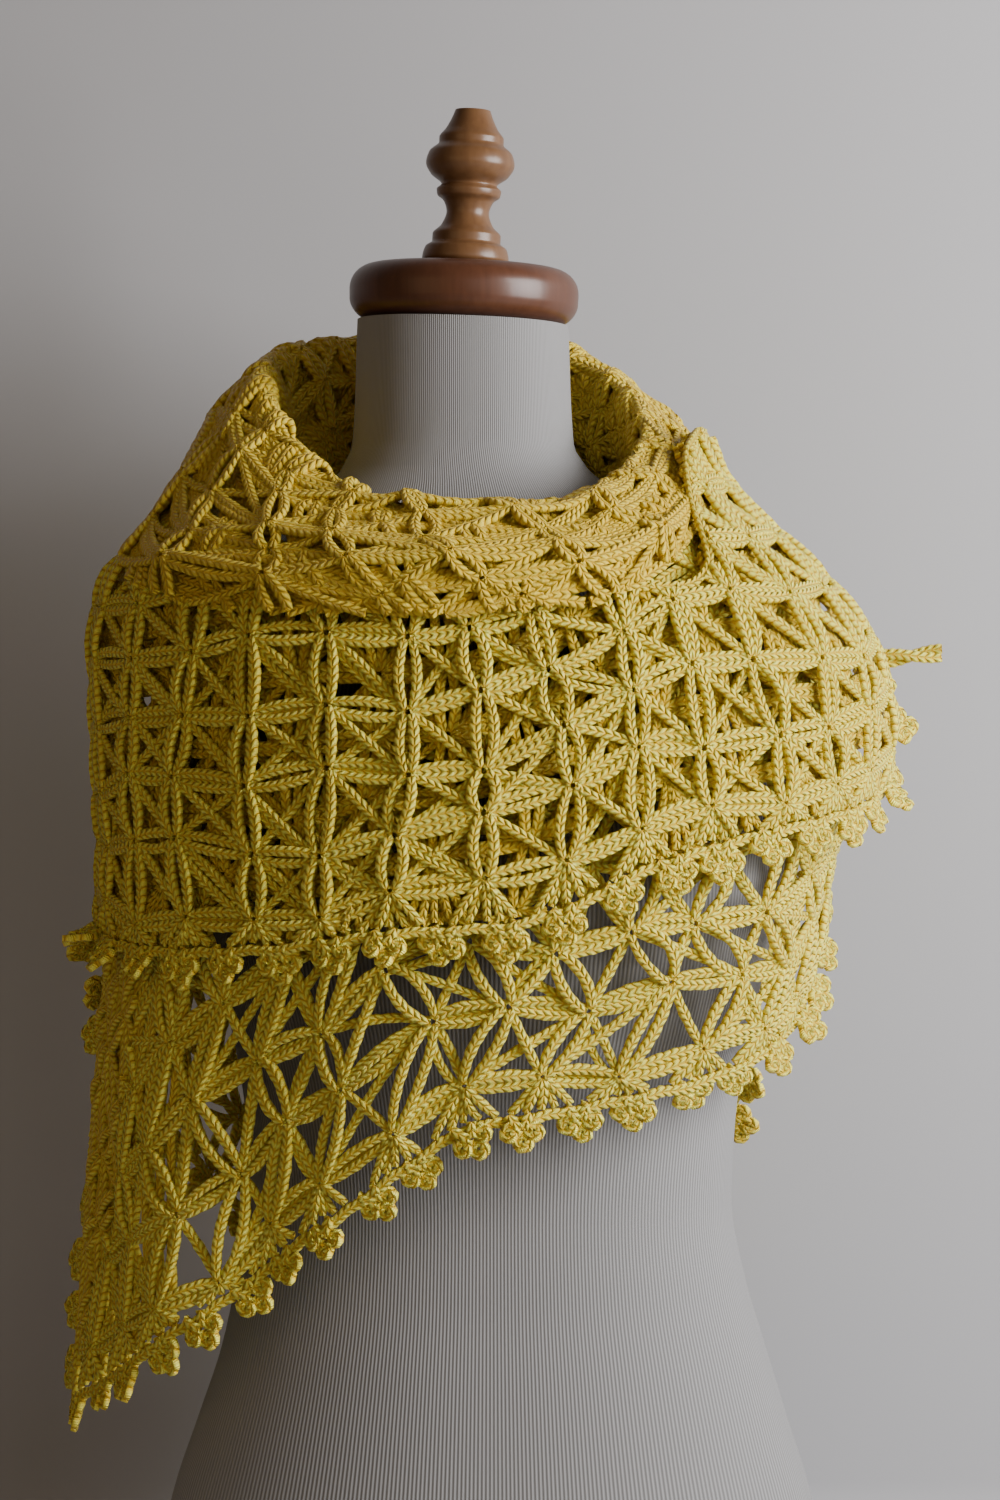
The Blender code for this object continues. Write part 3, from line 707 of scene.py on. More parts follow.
def join_yarns(into, more):
    for name, yarn in more.items():
        kept = into.setdefault(name, Yarn())
        kept.points += yarn.points
        kept.ups += yarn.ups
        kept.sizes += yarn.sizes
        kept.tones += yarn.tones


def wander(u, v, waves):
    """How far a place is moved by waves that run across the rows."""
    return sum(wave.size * math.sin(u / wave.along + v / wave.up + wave.start) for wave in waves)


def star_at(u, v, settings, chance):
    """A star's place: an even one, moved by a slow wander of the rows and a little at random."""
    shift = chance.normal(0, settings.jitter, 2)
    out = MID_WALL + settings.raise_knot + chance.normal(0, 0.7)
    return np.array([u + shift[0] + wander(u, v, SWAY), v + shift[1] + wander(u, v, DROP), out])


def spiral_stars(spiral, settings, chance, offset=0.0):
    """Stars in rows up the wound triangle. Odd rows are moved on by the lean at their turn."""
    stars = {}
    for j in range(*LACE_ROWS):
        v = (j + offset + 0.5) * ROW_SPACING
        for i in range(int(spiral.run[-1] / STAR_SPACING) + 1):
            u = (i + offset) * STAR_SPACING
            lean = float(lean_at(spiral.turn_at(u))) * (j % 2)
            stars[i, j] = star_at(u + lean * STAR_SPACING, v, settings, chance)
    return stars


def over_backing(spiral, chance):
    """A plainer second layer of lace just behind the over stretch, half a star on from it."""
    stars = spiral_stars(spiral, BACKING_STYLE, chance, 0.5)
    start = np.interp(OVER.start + 4, spiral.turns, spiral.run)
    near = {key: star for key, star in stars.items() if start < star[0] < spiral.run[-1] - 50}
    return lay_lace(spiral, near, BACKING_STYLE, chance, lambda star: "over_inner", spiral.border_v)


def spiral_lace(spiral, chance):
    """The lace of the three wound stretches, by the name of the stretch."""

    def stretch(star):
        turn = spiral.turn_at(star[0])
        return UNDER if turn < UNDER.end else BACK if turn < BACK.end else OVER

    def staggered(star):
        return lean_at(spiral.turn_at(star[0])) > STAGGERED_FROM

    def name(star):
        return stretch(star).name

    def extra(star):
        return stretch(star).extra

    stars = spiral_stars(spiral, WOUND_STYLE, chance)
    near = {key: star for key, star in stars.items() if 0 < star[0] < spiral.run[-1]}
    return lay_lace(spiral, near, WOUND_STYLE, chance, name, spiral.border_v, staggered, extra)


def corner_lace(corner, chance):
    """The lace beside the hanging corner's free side, where the rows run up it."""
    stars = {}
    for j in range(CORNER_ROWS):
        for i in range(*CORNER_STARS):
            u = (i + 0.5 * j) * STAR_SPACING
            stars[i, j] = star_at(u, (j + 0.5) * CORNER_ROW, CORNER_STYLE, chance)
    return lay_lace(corner, stars, CORNER_STYLE, chance, lambda star: "corner")


def corner_curtain(corner, chance):
    """The long chains that run up the hanging corner close beside each other, a little behind its stars."""
    yarn = Yarn()
    for k in range(CURTAIN_CHAINS):
        v = CURTAIN_START + k * CURTAIN_SPACING + chance.normal(0, 0.8)
        u = np.arange(*CURTAIN_RUN)
        phase = chance.uniform(0, 2 * math.pi)
        run = v + CURTAIN_SWAY.size * np.sin(u / CURTAIN_SWAY.along + phase) + CURTAIN_LEAN * u
        ripple = CURTAIN_RIPPLE.size * np.sin(u / CURTAIN_RIPPLE.along + 2 * phase)
        out = MID_WALL - CURTAIN_DEPTH + ripple
        turn, height = corner.where(u, run)
        kept = (height > border_at(turn) + 1) & (height < CURTAIN_TOP)
        if kept.sum() > FEWEST_SAMPLES:
            points, ups = corner.point(u, run, out), normals_on(corner, u, run, out)
            tone = CURTAIN_SHADED_TONE + chance.uniform(0, TONE_SPREAD)
            yarn.add(points[kept], ups[kept], CURTAIN_RADIUS, tone)
    return yarn


def collar_stars(collar, settings, chance, offset):
    """Stars in rows round the cowl, whose knots stand out and sink by turns."""
    stars = {}
    for j in range(COWL_ROWS):
        v = COWL_START + (j + offset) * COWL_STEP
        for i in range(COWL_STARS):
            u = (i + COWL_LEAN * j + offset) * STAR_SPACING
            stars[i, j] = star_at(u, v, settings, chance)
            stars[i, j][2] += wander(u, v, [COWL_WAVE])
    whole_round = np.array([collar.round, 0, 0])
    for j in range(COWL_ROWS):
        stars[COWL_STARS, j] = stars[0, j] + whole_round
        stars[-1, j] = stars[COWL_STARS - 1, j] - whole_round
    return stars


def collar_lace(collar, chance):
    """The cowl's two layers of lace, whose rows run round it."""
    yarns = {}
    for name, settings, offset in (("cowl", COWL_STYLE, 0.0), ("cowl_inner", COWL_INNER_STYLE, 0.5)):
        stars = collar_stars(collar, settings, chance, offset)
        join_yarns(yarns, lay_lace(collar, stars, settings, chance, lambda star, name=name: name))
    return yarns


def linked(name, data):
    """A new object in the scene, at the origin."""
    made = bpy.data.objects.new(name, data)
    bpy.context.scene.collection.objects.link(made)
    return made


def mesh_piece(name, points, faces, finish, sharp=None):
    """A smooth mesh in its finish, with its edges sharp from an angle in degrees on, if one is given."""
    mesh = bpy.data.meshes.new(name)
    mesh.from_pydata(points, [], faces)
    mesh.materials.append(finish)
    mesh.shade_smooth()
    if sharp:
        mesh.set_sharp_from_angle(angle=math.radians(sharp))
    return linked(name, mesh)


def tube_faces(rows, columns):
    """The faces of a tube of rings, with a flat face at each end."""
    faces = []
    for r in range(rows - 1):
        for c in range(columns):
            d = (c + 1) % columns
            faces.append((r * columns + c, r * columns + d, (r + 1) * columns + d, (r + 1) * columns + c))
    return faces + [tuple(reversed(range(columns))), tuple(range((rows - 1) * columns, rows * columns))]


def set_inputs(tree, node, inputs):
    """Sets a node's inputs, each to a value or to the output of another node."""
    for key, value in inputs.items():
        if isinstance(value, bpy.types.NodeSocket):
            tree.links.new(value, node.inputs[key])
        else:
            node.inputs[key].default_value = value


def add_node(tree, kind, inputs=None, **settings):
    """A new node of a tree, with its settings and its inputs."""
    node = tree.nodes.new(kind)
    for key, value in settings.items():
        setattr(node, key, value)
    set_inputs(tree, node, inputs or {})
    return node


def maths(tree, operation, *values):
    """The output of a maths node, which works on values and outputs of other nodes."""
    return add_node(tree, "ShaderNodeMath", dict(enumerate(values)), operation=operation).outputs[0]


def node_group(name, kind, inputs, outputs):
    """A new node group, with its own input and output sockets to link to.

    Each socket is given by its name, its type, and the value that it starts with, if any.
    """
    group = bpy.data.node_groups.new(name, kind)
    for way, sockets in (("INPUT", inputs), ("OUTPUT", outputs)):
        for title, socket_type, *value in sockets:
            made = group.interface.new_socket(title, in_out=way, socket_type=f"NodeSocket{socket_type}")
            if value:
                made.default_value = value[0]
    given = group.nodes.new("NodeGroupInput").outputs
    result = group.nodes.new("NodeGroupOutput")
    return group, given, result


def chain_sweep():
    """A node group that sweeps chains of crochet along the edges of a mesh."""
    sizes = [(name, "Float", value) for name, value in SWEEP.items()]
    inputs = [("Geometry", "Geometry"), *sizes, ("Sides", "Int", SWEEP_SIDES), ("Material", "Material")]
    group, given, result = node_group("Chain sweep", "GeometryNodeTree", inputs, [("Geometry", "Geometry")])
    calc, times = partial(maths, group), partial(maths, group, "MULTIPLY")

    def add(kind, output, inputs=None, **settings):
        return add_node(group, f"GeometryNode{kind}", inputs, **settings).outputs[output]

    def attribute(name, kind):
        return add("InputNamedAttribute", "Attribute", {"Name": name}, data_type=kind)

    def store(geometry, name, value):
        inputs = {"Geometry": geometry, "Name": name, "Value": value}
        return add("StoreNamedAttribute", "Geometry", inputs, data_type="FLOAT", domain="POINT")

    routes = add("MeshToCurve", "Curve", {"Mesh": given["Geometry"]})
    even = add("ResampleCurve", "Curve", {"Curve": routes, "Length": given["Ring Spacing"]}, mode="LENGTH")
    facing = {"Curve": even, "Normal": attribute("up", "FLOAT_VECTOR")}
    turned = add("SetCurveNormal", "Curve", facing, mode="FREE")
    run = add("SplineParameter", "Length")
    marked = store(turned, "along", run)
    wave = calc("COSINE", times(calc("DIVIDE", run, given["Stitch"]), 2 * math.pi))
    swell = calc("ADD", times(wave, given["Bulge"]), 1)
    width = times(attribute("size", "FLOAT"), swell)
    circle = add("CurvePrimitiveCircle", "Curve", {"Radius": 1, "Resolution": given["Sides"]})
    at = add("InputPosition", "Position")
    split = add_node(group, "ShaderNodeSeparateXYZ", {"Vector": at}).outputs
    faced = store(store(circle, "side", split["Y"]), "face", split["X"])
    inset = calc("POWER", calc("SUBTRACT", 1, calc("ABSOLUTE", split["Y"])), 2)
    legs = calc("SUBTRACT", 1, times(inset, given["Groove"]))
    full = calc("POWER", calc("ABSOLUTE", split["X"]), 0.5)
    depth = times(calc("SIGN", split["X"]), times(full, legs))
    legged = {"X": times(depth, given["Flatness"]), "Y": split["Y"]}
    two_legs = add_node(group, "ShaderNodeCombineXYZ", legged).outputs["Vector"]
    profile = add("SetPosition", "Geometry", {"Geometry": faced, "Position": two_legs})
    swept_along = {"Curve": marked, "Profile Curve": profile, "Scale": width, "Fill Caps": True}
    smooth = add("SetShadeSmooth", "Geometry", {"Geometry": add("CurveToMesh", "Mesh", swept_along)})
    real = add("RealizeInstances", "Geometry", {"Geometry": smooth})
    painted = add("SetMaterial", "Geometry", {"Geometry": real, "Material": given["Material"]})
    set_inputs(group, result, {"Geometry": painted})
    return group


def swept(name, yarn, group, finish, ring_spacing):
    """A plain mesh of the yarn's chains, swept by the node group."""
    counts = [len(p) for p in yarn.points]
    starts = np.concatenate([[0], np.cumsum(counts)[:-1]])
    edges = [(s + k, s + k + 1) for s, n in zip(starts.tolist(), counts) for k in range(n - 1)]
    mesh = bpy.data.meshes.new(f"{name} routes")
    mesh.from_pydata([tuple(p) for p in np.concatenate(yarn.points) * MM], edges, [])
    marks = (
        ("up", "FLOAT_VECTOR", "vector", np.concatenate(yarn.ups).ravel()),
        ("size", "FLOAT", "value", np.concatenate(yarn.sizes) * MM),
        ("tone", "FLOAT", "value", np.concatenate(yarn.tones)),
    )
    for title, kind, field, values in marks:
        mesh.attributes.new(title, kind, "POINT").data.foreach_set(field, values)
    routes = linked(f"{name} routes", mesh)
    modifier = routes.modifiers.new("Chain sweep", "NODES")
    modifier.node_group = group
    values = {"Material": finish, "Ring Spacing": ring_spacing}
    for socket in group.interface.items_tree:
        if socket.in_out == "INPUT" and socket.name in values:
            modifier[socket.identifier] = values[socket.name]
    bpy.context.view_layer.update()
    graph = bpy.context.evaluated_depsgraph_get()
    made = bpy.data.meshes.new_from_object(routes.evaluated_get(graph), depsgraph=graph)
    routes.modifiers.remove(modifier)
    bpy.data.objects.remove(routes, do_unlink=True)
    if not made.materials:
        made.materials.append(finish)
    return linked(name, made)


def up_the_cloth(turn, height):
    """The way up the middle of the cloth's wall."""
    return on_cloth(turn, height + PROBE, MID_WALL) - on_cloth(turn, height - PROBE, MID_WALL)


def edge_frame(here, along, up):
    """An edge's points, with unit vectors along it, down off it and outwards."""
    outward = unit(np.cross(along, up))
    return here, along, np.cross(along, outward), outward


def border_frame(turn):
    """The border's frame, in the middle of the cloth's wall."""
    low = border_at(turn)
    ends = [on_cloth(turn + step, border_at(turn + step), MID_WALL) for step in (0.5, -0.5)]
    return edge_frame(on_cloth(turn, low, MID_WALL), unit(ends[0] - ends[1]), up_the_cloth(turn, low))


def side_frame(height):
    """The same for the hanging corner's free side, whose edging stands off sideways."""
    turn = FREE_SIDE
    rise = on_cloth(turn, height + 1, MID_WALL) - on_cloth(turn, height - 1, MID_WALL)
    right = on_cloth(turn + 0.5, height, MID_WALL) - on_cloth(turn - 0.5, height, MID_WALL)
    return edge_frame(on_cloth(turn, height, MID_WALL), -unit(rise), right)


def add_trefoil(yarn, frame_at, chance, flare=0.0):
    """Three picot loops on two short legs, tipped outwards by flare and a little at random."""
    base, along, down, outward = frame_at
    tip = chance.normal(*TREFOIL_TIPS) + flare
    turn = chance.normal(*TREFOIL_TURNS)
    size = chance.uniform(*TREFOIL_SIZES)
    fall = down * math.cos(tip) + outward * math.sin(tip)
    face = outward * math.cos(tip) - down * math.sin(tip)
    across = along * math.cos(turn) + fall * math.sin(turn)
    fall = fall * math.cos(turn) - along * math.sin(turn)
    tone = OUTER_TONE + chance.uniform(0, TONE_SPREAD)
    for loop in TREFOIL:
        a = np.linspace(*LOOP_ENDS, LOOP_SAMPLES) - math.pi / 2 + math.atan2(-loop.across, 12)
        radius = loop.radius * size * chance.uniform(*LOOP_SIZES)
        x = loop.across * size + radius * np.cos(a)
        d = loop.depth * size + radius * np.sin(a)
        lift = 0.8 * np.sin(a * 1.5) + chance.normal(0, 0.3)
        points = base + x[:, None] * across + d[:, None] * fall + lift[:, None] * face
        yarn.add(points, np.tile(face, (len(a), 1)), PICOT_RADIUS * size, tone)
    t = np.linspace(0, 1, 6)[:, None]
    for side in (-1, 1):
        start = base + side * LEG_FOOT * along
        end = base + across * side * 0.8 + fall * LEG_TOP
        points = start * (1 - t) + end * t + face * 0.5 * np.sin(math.pi * t)
        yarn.add(points, np.tile(face, (len(t), 1)), LEG_RADIUS, tone)


def edging_yarn(stretch, chance):
    """One stretch's edging: a cord along its border and a row of trefoils."""
    yarn = Yarn()
    fine = np.linspace(stretch.start + 0.3, stretch.end - 0.3, 500)
    run = run_along(on_cloth(fine, border_at(fine), MID_WALL))
    count = round(run[-1] / TREFOIL_WIDTH)
    steps = np.arange(0, run[-1], CORD_STEP)
    here, _, down, outward = border_frame(np.interp(steps, run, fine))
    sag = BORDER_CORD.drop + CORD_SCALLOP * np.abs(np.sin(math.pi * (steps / run[-1] * count)))
    yarn.add(here + down * sag[:, None], outward, BORDER_CORD.radius, BORDER_CORD.tone)
    middles = np.interp((np.arange(count) + 0.5) / count * run[-1], run, fine)
    for middle, *frame_at in zip(middles, *border_frame(middles)):
        add_trefoil(yarn, frame_at, chance, float(flare_at(middle)))
    return yarn


def side_yarn(chance):
    """The edging up the hanging corner's free side: two chains and a row of trefoils."""
    yarn = Yarn()
    bottom = float(border_at(FREE_SIDE))
    here, _, down, outward = side_frame(np.arange(bottom, SIDE_TOP, CORD_STEP))
    for cord in SIDE_CORDS:
        yarn.add(here + down * cord.drop, outward, cord.radius, cord.tone)
    count = round((SIDE_TOP - bottom) / TREFOIL_WIDTH)
    middles = bottom + (np.arange(count) + 0.5) / count * (SIDE_TOP - bottom)
    for frame_at in zip(*side_frame(middles)):
        add_trefoil(yarn, frame_at, chance)
    return yarn


def top_cords(yarns):
    """Chains along the long edge of each stretch, down the over stretch's end and along the corner."""
    for stretch in (UNDER, BACK, OVER):
        turn = np.arange(stretch.start + 0.5, stretch.end, 1.5)
        height = top_at(turn) - TOP_CORD.drop
        here = on_cloth(turn, height, MID_WALL)
        outward = unit(np.cross(np.gradient(here, axis=0), up_the_cloth(turn, height)))
        yarns[stretch.name].add(here, outward, TOP_CORD.radius, TOP_CORD.tone)
    end = LAST_TURN - 0.6
    up_the_end = np.arange(float(border_at(LAST_TURN)) + 1, float(top_at(LAST_TURN)), CORD_STEP)
    up_the_corner = np.arange(float(border_at(FREE_SIDE)) + 6, CORNER_TOP, CORD_STEP)
    bend = FREE_SIDE + np.degrees(spine(up_the_corner) / drape_smooth(CORNER_TURN, up_the_corner))
    ends = (("over", end, up_the_end, END_CORD), ("corner", bend, up_the_corner, CORNER_CORD))
    for name, turn, height, cord in ends:
        here = on_cloth(turn, height, MID_WALL)
        yarns[name].add(here, unit(here - place(turn, height, 0)), cord.radius, cord.tone)


def tail_yarn():
    """The short tail at the corner on the shoulder: two chains twisted round each other."""
    yarn = Yarn()
    low, high = (np.array(corner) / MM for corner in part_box("corner_tail"))
    middle = (low[1] + high[1]) / 2
    start = np.array([low[0] - 12, middle + 3, low[2] + 3.0])
    end = np.array([high[0] - 2.5, middle, high[2] - 4.0])
    t = np.linspace(0, 1, 14)[:, None]
    for side in (-1, 1):
        twist = side * TAIL_TWIST * np.cos(5 * t)
        rise = side * TAIL_TWIST * np.sin(5 * t)
        points = start * (1 - t) + end * t + np.array([0, 1, 0]) * twist + np.array([0, 0, 1]) * rise
        yarn.add(points, np.tile([0, -1, 0], (len(t), 1)), TAIL_RADIUS - 0.5 * t[:, 0], 1.0)
    return yarn


def material(name):
    """A new material, with its node tree and its shader."""
    made = bpy.data.materials.new(name)
    made.use_nodes = True
    return made, made.node_tree, made.node_tree.nodes["Principled BSDF"]


def colour_between(tree, factor, low, high):
    """A colour from low to high, each three numbers or the output of another node."""
    ends = {"A": low, "B": high}
    colours = {key: (*end, 1) if isinstance(end, tuple) else end for key, end in ends.items()}
    return add_node(tree, "ShaderNodeMix", {"Factor": factor, **colours}, data_type="RGBA").outputs["Result"]


def bumped(tree, height, strength, distance):
    """The normal of a surface with a relief."""
    inputs = {"Strength": strength, "Distance": distance, "Height": height}
    return add_node(tree, "ShaderNodeBump", inputs).outputs["Normal"]


def mix_in(tree, shader, other, factor):
    """Mixes another shader into a material's own one."""
    inputs = {0: factor, 1: shader.outputs["BSDF"], 2: other.outputs["BSDF"]}
    mixed = add_node(tree, "ShaderNodeMixShader", inputs).outputs["Shader"]
    set_inputs(tree, tree.nodes["Material Output"], {"Surface": mixed})


def yarn_material():
    """Yellow mercerised yarn worked in chains, which glows a little where light falls through it."""
    made, tree, shader = material("yellow_yarn")
    marks = {}
    for name in ("along", "side", "face", "tone"):
        marks[name.capitalize()] = add_node(tree, "ShaderNodeAttribute", attribute_name=name).outputs["Fac"]
    stitch = add_node(tree, "ShaderNodeGroup", marks, node_tree=chain_stitch_group()).outputs
    look = {
        # the colour holds painted shade and painted highlights from the chain stitch group
        "Base Color": stitch["Colour"],
        "Normal": bumped(tree, stitch["Height"], 1.0, 0.0028),
        "Roughness": 0.3,
        "Specular IOR Level": 0.5,
        "Specular Tint": (*YARN_GLOSS, 1),
        "Sheen Weight": 0.06,
        "Sheen Roughness": 0.4,
        "Sheen Tint": (*YARN_SHEEN, 1),
    }
    set_inputs(tree, shader, look)
    mix_in(tree, shader, add_node(tree, "ShaderNodeBsdfTranslucent", {"Color": (*YARN_GLOW, 1)}), 0.12)
    return made


def chain_stitch_group():
    """The relief and colour of a chain: V-shaped stitches, a groove between their legs, fine plies, with
    painted shade and painted highlights in its colour.
    """
    inputs = [(name, "Float") for name in ("Along", "Side", "Face", "Tone")]
    outputs = [("Colour", "Color"), ("Height", "Float")]
    group, given, result = node_group("Chain stitch", "ShaderNodeTree", inputs, outputs)
    calc, times = partial(maths, group), partial(maths, group, "MULTIPLY")
    stitches = calc("DIVIDE", given["Along"], STITCH * MM)
    away = calc("ABSOLUTE", given["Side"])
    phase = calc("SUBTRACT", stitches, times(away, 0.55))
    leg = calc("POWER", calc("ABSOLUTE", calc("SINE", times(phase, math.pi))), 0.55)
    groove = calc("SMOOTH_MIN", times(away, 3.2), 1.0, 0.3)
    twist = calc("ADD", times(stitches, 3.0), away)
    plies = calc("SINE", times(twist, 4 * math.pi))
    relief = times(leg, calc("ADD", times(groove, 0.6), 0.4))
    # painted shade in the grooves and a painted highlight on the stitch tips, both from the relief's height
    painted_tip_light = calc("POWER", calc("MAXIMUM", relief, 0.0), 1.6)
    # painted shade on the side of each chain turned in towards the form
    outer = calc("MULTIPLY_ADD", given["Face"], 0.18, 0.82)
    # lower tones paint the layers behind in shade, on top of a random spread of tone
    pale = times(outer, calc("MULTIPLY_ADD", given["Tone"], 0.55, 0.5))
    colour = colour_between(group, times(painted_tip_light, pale), YARN_SHADE, YARN_PALE)
    # painted shade: low tones darken the colour, high ones lighten it
    shade = {"Value": calc("MULTIPLY_ADD", given["Tone"], 0.16, 0.92), "Color": colour}
    layer_shaded_colour = add_node(group, "ShaderNodeHueSaturation", shade).outputs["Color"]
    height = calc("ADD", relief, times(plies, 0.07))
    set_inputs(group, result, {"Colour": layer_shaded_colour, "Height": height})
    return group


def jersey_material():
    """Off-white jersey with fine ribs that run up the form, and painted shade in the valleys between them.
    """
    made, tree, shader = material("jersey")
    calc = partial(maths, tree)
    at = add_node(tree, "ShaderNodeUVMap").outputs["UV"]
    across = add_node(tree, "ShaderNodeSeparateXYZ", {"Vector": at}).outputs["X"]
    rib = calc("SINE", calc("MULTIPLY", across, 2 * math.pi))
    look = {
        # painted shade towards the valleys between the ribs
        "Base Color": colour_between(tree, calc("MULTIPLY_ADD", rib, 0.5, 0.6), JERSEY_VALLEY_SHADE, JERSEY_RIB),
        "Normal": bumped(tree, rib, 0.35, 0.0005),
        "Roughness": 0.85,
        "Specular IOR Level": 0.25,
        "Sheen Weight": 0.15,
    }
    set_inputs(tree, shader, look)
    return made


def wood_grain_group():
    """A fine grain that runs up a turning, between a dark and a light colour of its wood."""
    inputs = [("Place", "Vector"), ("Dark", "Color"), ("Light", "Color")]
    group, given, result = node_group("Wood grain", "ShaderNodeTree", inputs, [("Colour", "Color")])
    drawn_out = {"Vector": given["Place"], "Scale": (220, 220, 22), "Rotation": (0.12, 0.08, 0)}
    at = add_node(group, "ShaderNodeMapping", drawn_out).outputs["Vector"]
    noise = {"Vector": at, "Scale": 1, "Detail": 5, "Distortion": 0.6}
    grain = add_node(group, "ShaderNodeTexNoise", noise).outputs["Fac"]
    set_inputs(group, result, {"Colour": colour_between(group, grain, given["Dark"], given["Light"])})
    return group


def wood_material(wood, grain):
    """Varnished wood with its grain."""
    made, tree, shader = material(wood.name)
    at = add_node(tree, "ShaderNodeTexCoord").outputs["Object"]
    inputs = {"Place": at, "Dark": (*wood.dark, 1), "Light": (*wood.light, 1)}
    look = {
        "Base Color": add_node(tree, "ShaderNodeGroup", inputs, node_tree=grain).outputs["Colour"],
        "Roughness": wood.roughness,
        "Specular IOR Level": 0.35,
        "Coat Weight": 0.06,
        "Coat Roughness": 0.12,
    }
    set_inputs(tree, shader, look)
    return made


def turned_wood(name, profile, base, degrees, finish):
    """A solid turned on a lathe from (height, radius) rows, standing on base and tipped towards +X."""
    rows = [(profile[0][0], 0.01)] + list(profile) + [(profile[-1][0], 0.01)]
    turns = np.radians(np.arange(WOOD_SEGMENTS) * 360 / WOOD_SEGMENTS)
    height, radius = np.array(rows, float).T[..., None]
    x, y = radius * np.sin(turns), -radius * np.cos(turns)
    a = math.radians(degrees)
    z = np.broadcast_to(height, x.shape)
    grid = np.stack([x * math.cos(a) + z * math.sin(a), y, z * math.cos(a) - x * math.sin(a)], axis=-1)
    points = [tuple(p) for p in ((grid + np.array(base)) * MM).reshape(-1, 3)]
    return mesh_piece(name, points, tube_faces(len(rows), WOOD_SEGMENTS), finish, 52)


def woodwork():
    """The cap and the finial as finer turnings of the same profiles as the CAD ones."""
    cap = []
    for a in (math.radians(step) for step in range(-90, 91, 10)):
        middle = CAP_ROUND if a < 0 else CAP_THICK - CAP_ROUND
        cap.append((middle + CAP_ROUND * math.sin(a), CAP_RADIUS - CAP_ROUND + CAP_ROUND * math.cos(a)))
    fine = np.linspace(0, len(FINIAL_PROFILE) - 1, 5 * len(FINIAL_PROFILE))
    run = np.arange(len(FINIAL_PROFILE))
    finial = list(zip(*(curve(run, column)(fine) for column in zip(*FINIAL_PROFILE))))
    neck = np.array([float(centre_x(NECK_TOP)), 0.0, NECK_TOP + SEAM])
    up = CAP_THICK + 2 * SEAM
    lean = math.radians(NECK_LEAN)
    foot = neck + np.array([up * math.sin(lean), 0.0, up * math.cos(lean)])
    grain = wood_grain_group()
    shapes = (
        ("cap_turning", cap, neck, NECK_LEAN, CAP_WOOD, "neck_cap"),
        ("finial_turning", finial, foot, FINIAL_LEAN, FINIAL_WOOD, "finial"),
    )
    for name, profile, base, degrees, wood, node in shapes:
        made = turned_wood(name, profile, base, degrees, wood_material(wood, grain))
        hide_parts(node)
        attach(made, "root")


def form_cover(finish):
    """The jersey-covered torso as a fine mesh over the CAD one, with its ribs laid out in a UV map."""
    columns = FORM_COLUMNS
    turns = np.linspace(0, 360, columns + 1)
    knots = [ring.height for ring in FORM_RINGS]
    heights = np.unique(np.concatenate([np.arange(0, NECK_TOP, FORM_ROW), BASE_ROUND, knots]))
    grid = place(turns[None, :], heights[:, None], form_radius(turns[None, :], heights[:, None]))
    lean = smooth_step(NECK_FOOT, NECK_TOP, heights)[:, None] * math.tan(math.radians(NECK_LEAN))
    grid[..., 2] -= (grid[..., 0] - centre_x(heights)[:, None]) * lean
    points = [tuple(p) for p in (grid[:, :-1] * MM).reshape(-1, 3)]
    made = mesh_piece("form_cover", points, tube_faces(len(heights), columns), finish, 50)
    around = run_along(grid[len(heights) // 2])
    ribs = round(around[-1] / RIB_WIDTH)
    layer = made.data.uv_layers.new(name="ribs")
    for face in made.data.polygons:
        last = max(face.vertices) % columns == columns - 1 and len(face.vertices) == 4
        for loop in face.loop_indices:
            row, column = divmod(made.data.loops[loop].vertex_index, columns)
            across = around[columns if last and column == 0 else column] / around[-1] * ribs
            layer.data[loop].uv = (across, heights[row] / RIB_WIDTH)
    return made


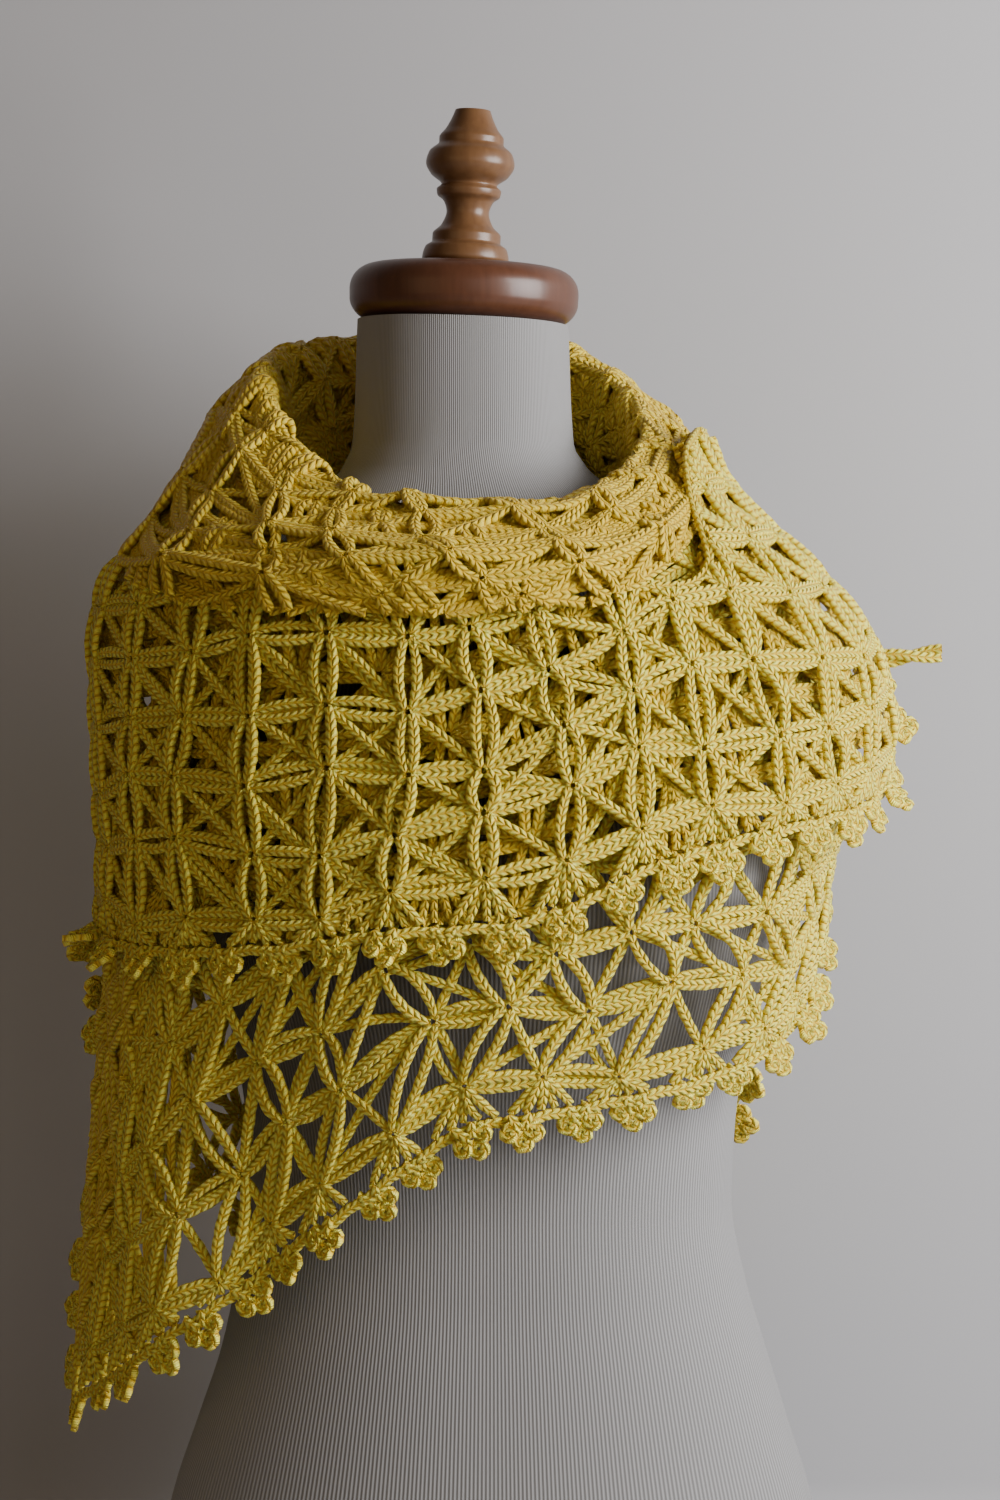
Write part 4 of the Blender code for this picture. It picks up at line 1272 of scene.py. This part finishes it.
def stage():
    """A pale floor and wall in one sweep, clear from behind so that the wall hides nothing."""
    paint, tree, shader = material("pale_wall")
    set_inputs(tree, shader, {"Base Color": (*WALL_PAINT, 1), "Roughness": 0.9})
    behind = add_node(tree, "ShaderNodeNewGeometry").outputs["Backfacing"]
    mix_in(tree, shader, add_node(tree, "ShaderNodeBsdfTransparent"), behind)
    foot = STAGE_BACK - STAGE_BEND
    profile = [(STAGE_FRONT, 0.0), (foot, 0.0)]
    for k in range(1, BEND_STEPS + 1):
        a = math.radians(90 * k / BEND_STEPS)
        profile.append((foot + STAGE_BEND * math.sin(a), STAGE_BEND - STAGE_BEND * math.cos(a)))
    profile.append((STAGE_BACK, STAGE_HEIGHT))
    points = [(x, y, z - STAGE_DROP) for y, z in profile for x in (-STAGE_WIDTH, STAGE_WIDTH)]
    faces = [(2 * k, 2 * k + 1, 2 * k + 3, 2 * k + 2) for k in range(len(profile) - 1)]
    mesh_piece("stage_sweep", points, faces, paint)


def light():
    """Soft light from a window at the right, and a little from the room."""
    for lamp in LAMPS:
        data = bpy.data.lights.new(lamp.name, "AREA")
        data.size = lamp.size
        data.energy = lamp.power
        data.color = lamp.colour
        made = linked(lamp.name, data)
        made.location = lamp.at
        made.rotation_euler = (Vector(lamp.towards) - Vector(lamp.at)).to_track_quat("-Z", "Y").to_euler()
    world = bpy.data.worlds.new("room")
    world.use_nodes = True
    room = {"Color": (*ROOM_COLOUR, 1), "Strength": ROOM_STRENGTH}
    set_inputs(world.node_tree, world.node_tree.nodes["Background"], room)
    bpy.context.scene.world = world


def camera():
    """The photograph's viewpoint: level with the chest, from 1.9 m."""
    data = bpy.data.cameras.new("camera")
    data.lens = LENS
    data.sensor_width = SENSOR
    made = linked("camera", data)
    made.location = CAMERA_AT
    made.rotation_euler = (math.radians(90 - CAMERA_DIP), 0, 0)
    bpy.context.scene.camera = made


def lay_yarns(chance):
    """The chains of all the lace pieces, by name."""
    spiral, collar, corner = Spiral(), Collar(), Corner()
    yarns = spiral_lace(spiral, chance)
    join_yarns(yarns, over_backing(spiral, chance))
    join_yarns(yarns, corner_lace(corner, chance))
    join_yarns(yarns, {"corner": corner_curtain(corner, chance)})
    join_yarns(yarns, collar_lace(collar, chance))
    top_cords(yarns)
    yarns["under_picots"] = edging_yarn(UNDER, chance)
    yarns["side_picots"] = side_yarn(chance)
    yarns["back_picots"] = edging_yarn(BACK, chance)
    yarns["over_picots"] = edging_yarn(OVER, chance)
    yarns["tail"] = tail_yarn()
    return yarns


def dress():
    """The form's jersey and wood, and the lace over them."""
    woodwork()
    cover = form_cover(jersey_material())
    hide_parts("form_torso")
    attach(cover, "root")
    yarns = lay_yarns(np.random.default_rng(SEED))
    yarn, group = yarn_material(), chain_sweep()
    for piece in LACE_PIECES:
        obj = swept(f"lace_{piece.name}", yarns[piece.name], group, yarn, piece.rings)
        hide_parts(piece.node)
        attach(obj, "root")


camera()
stage()
light()
dress()
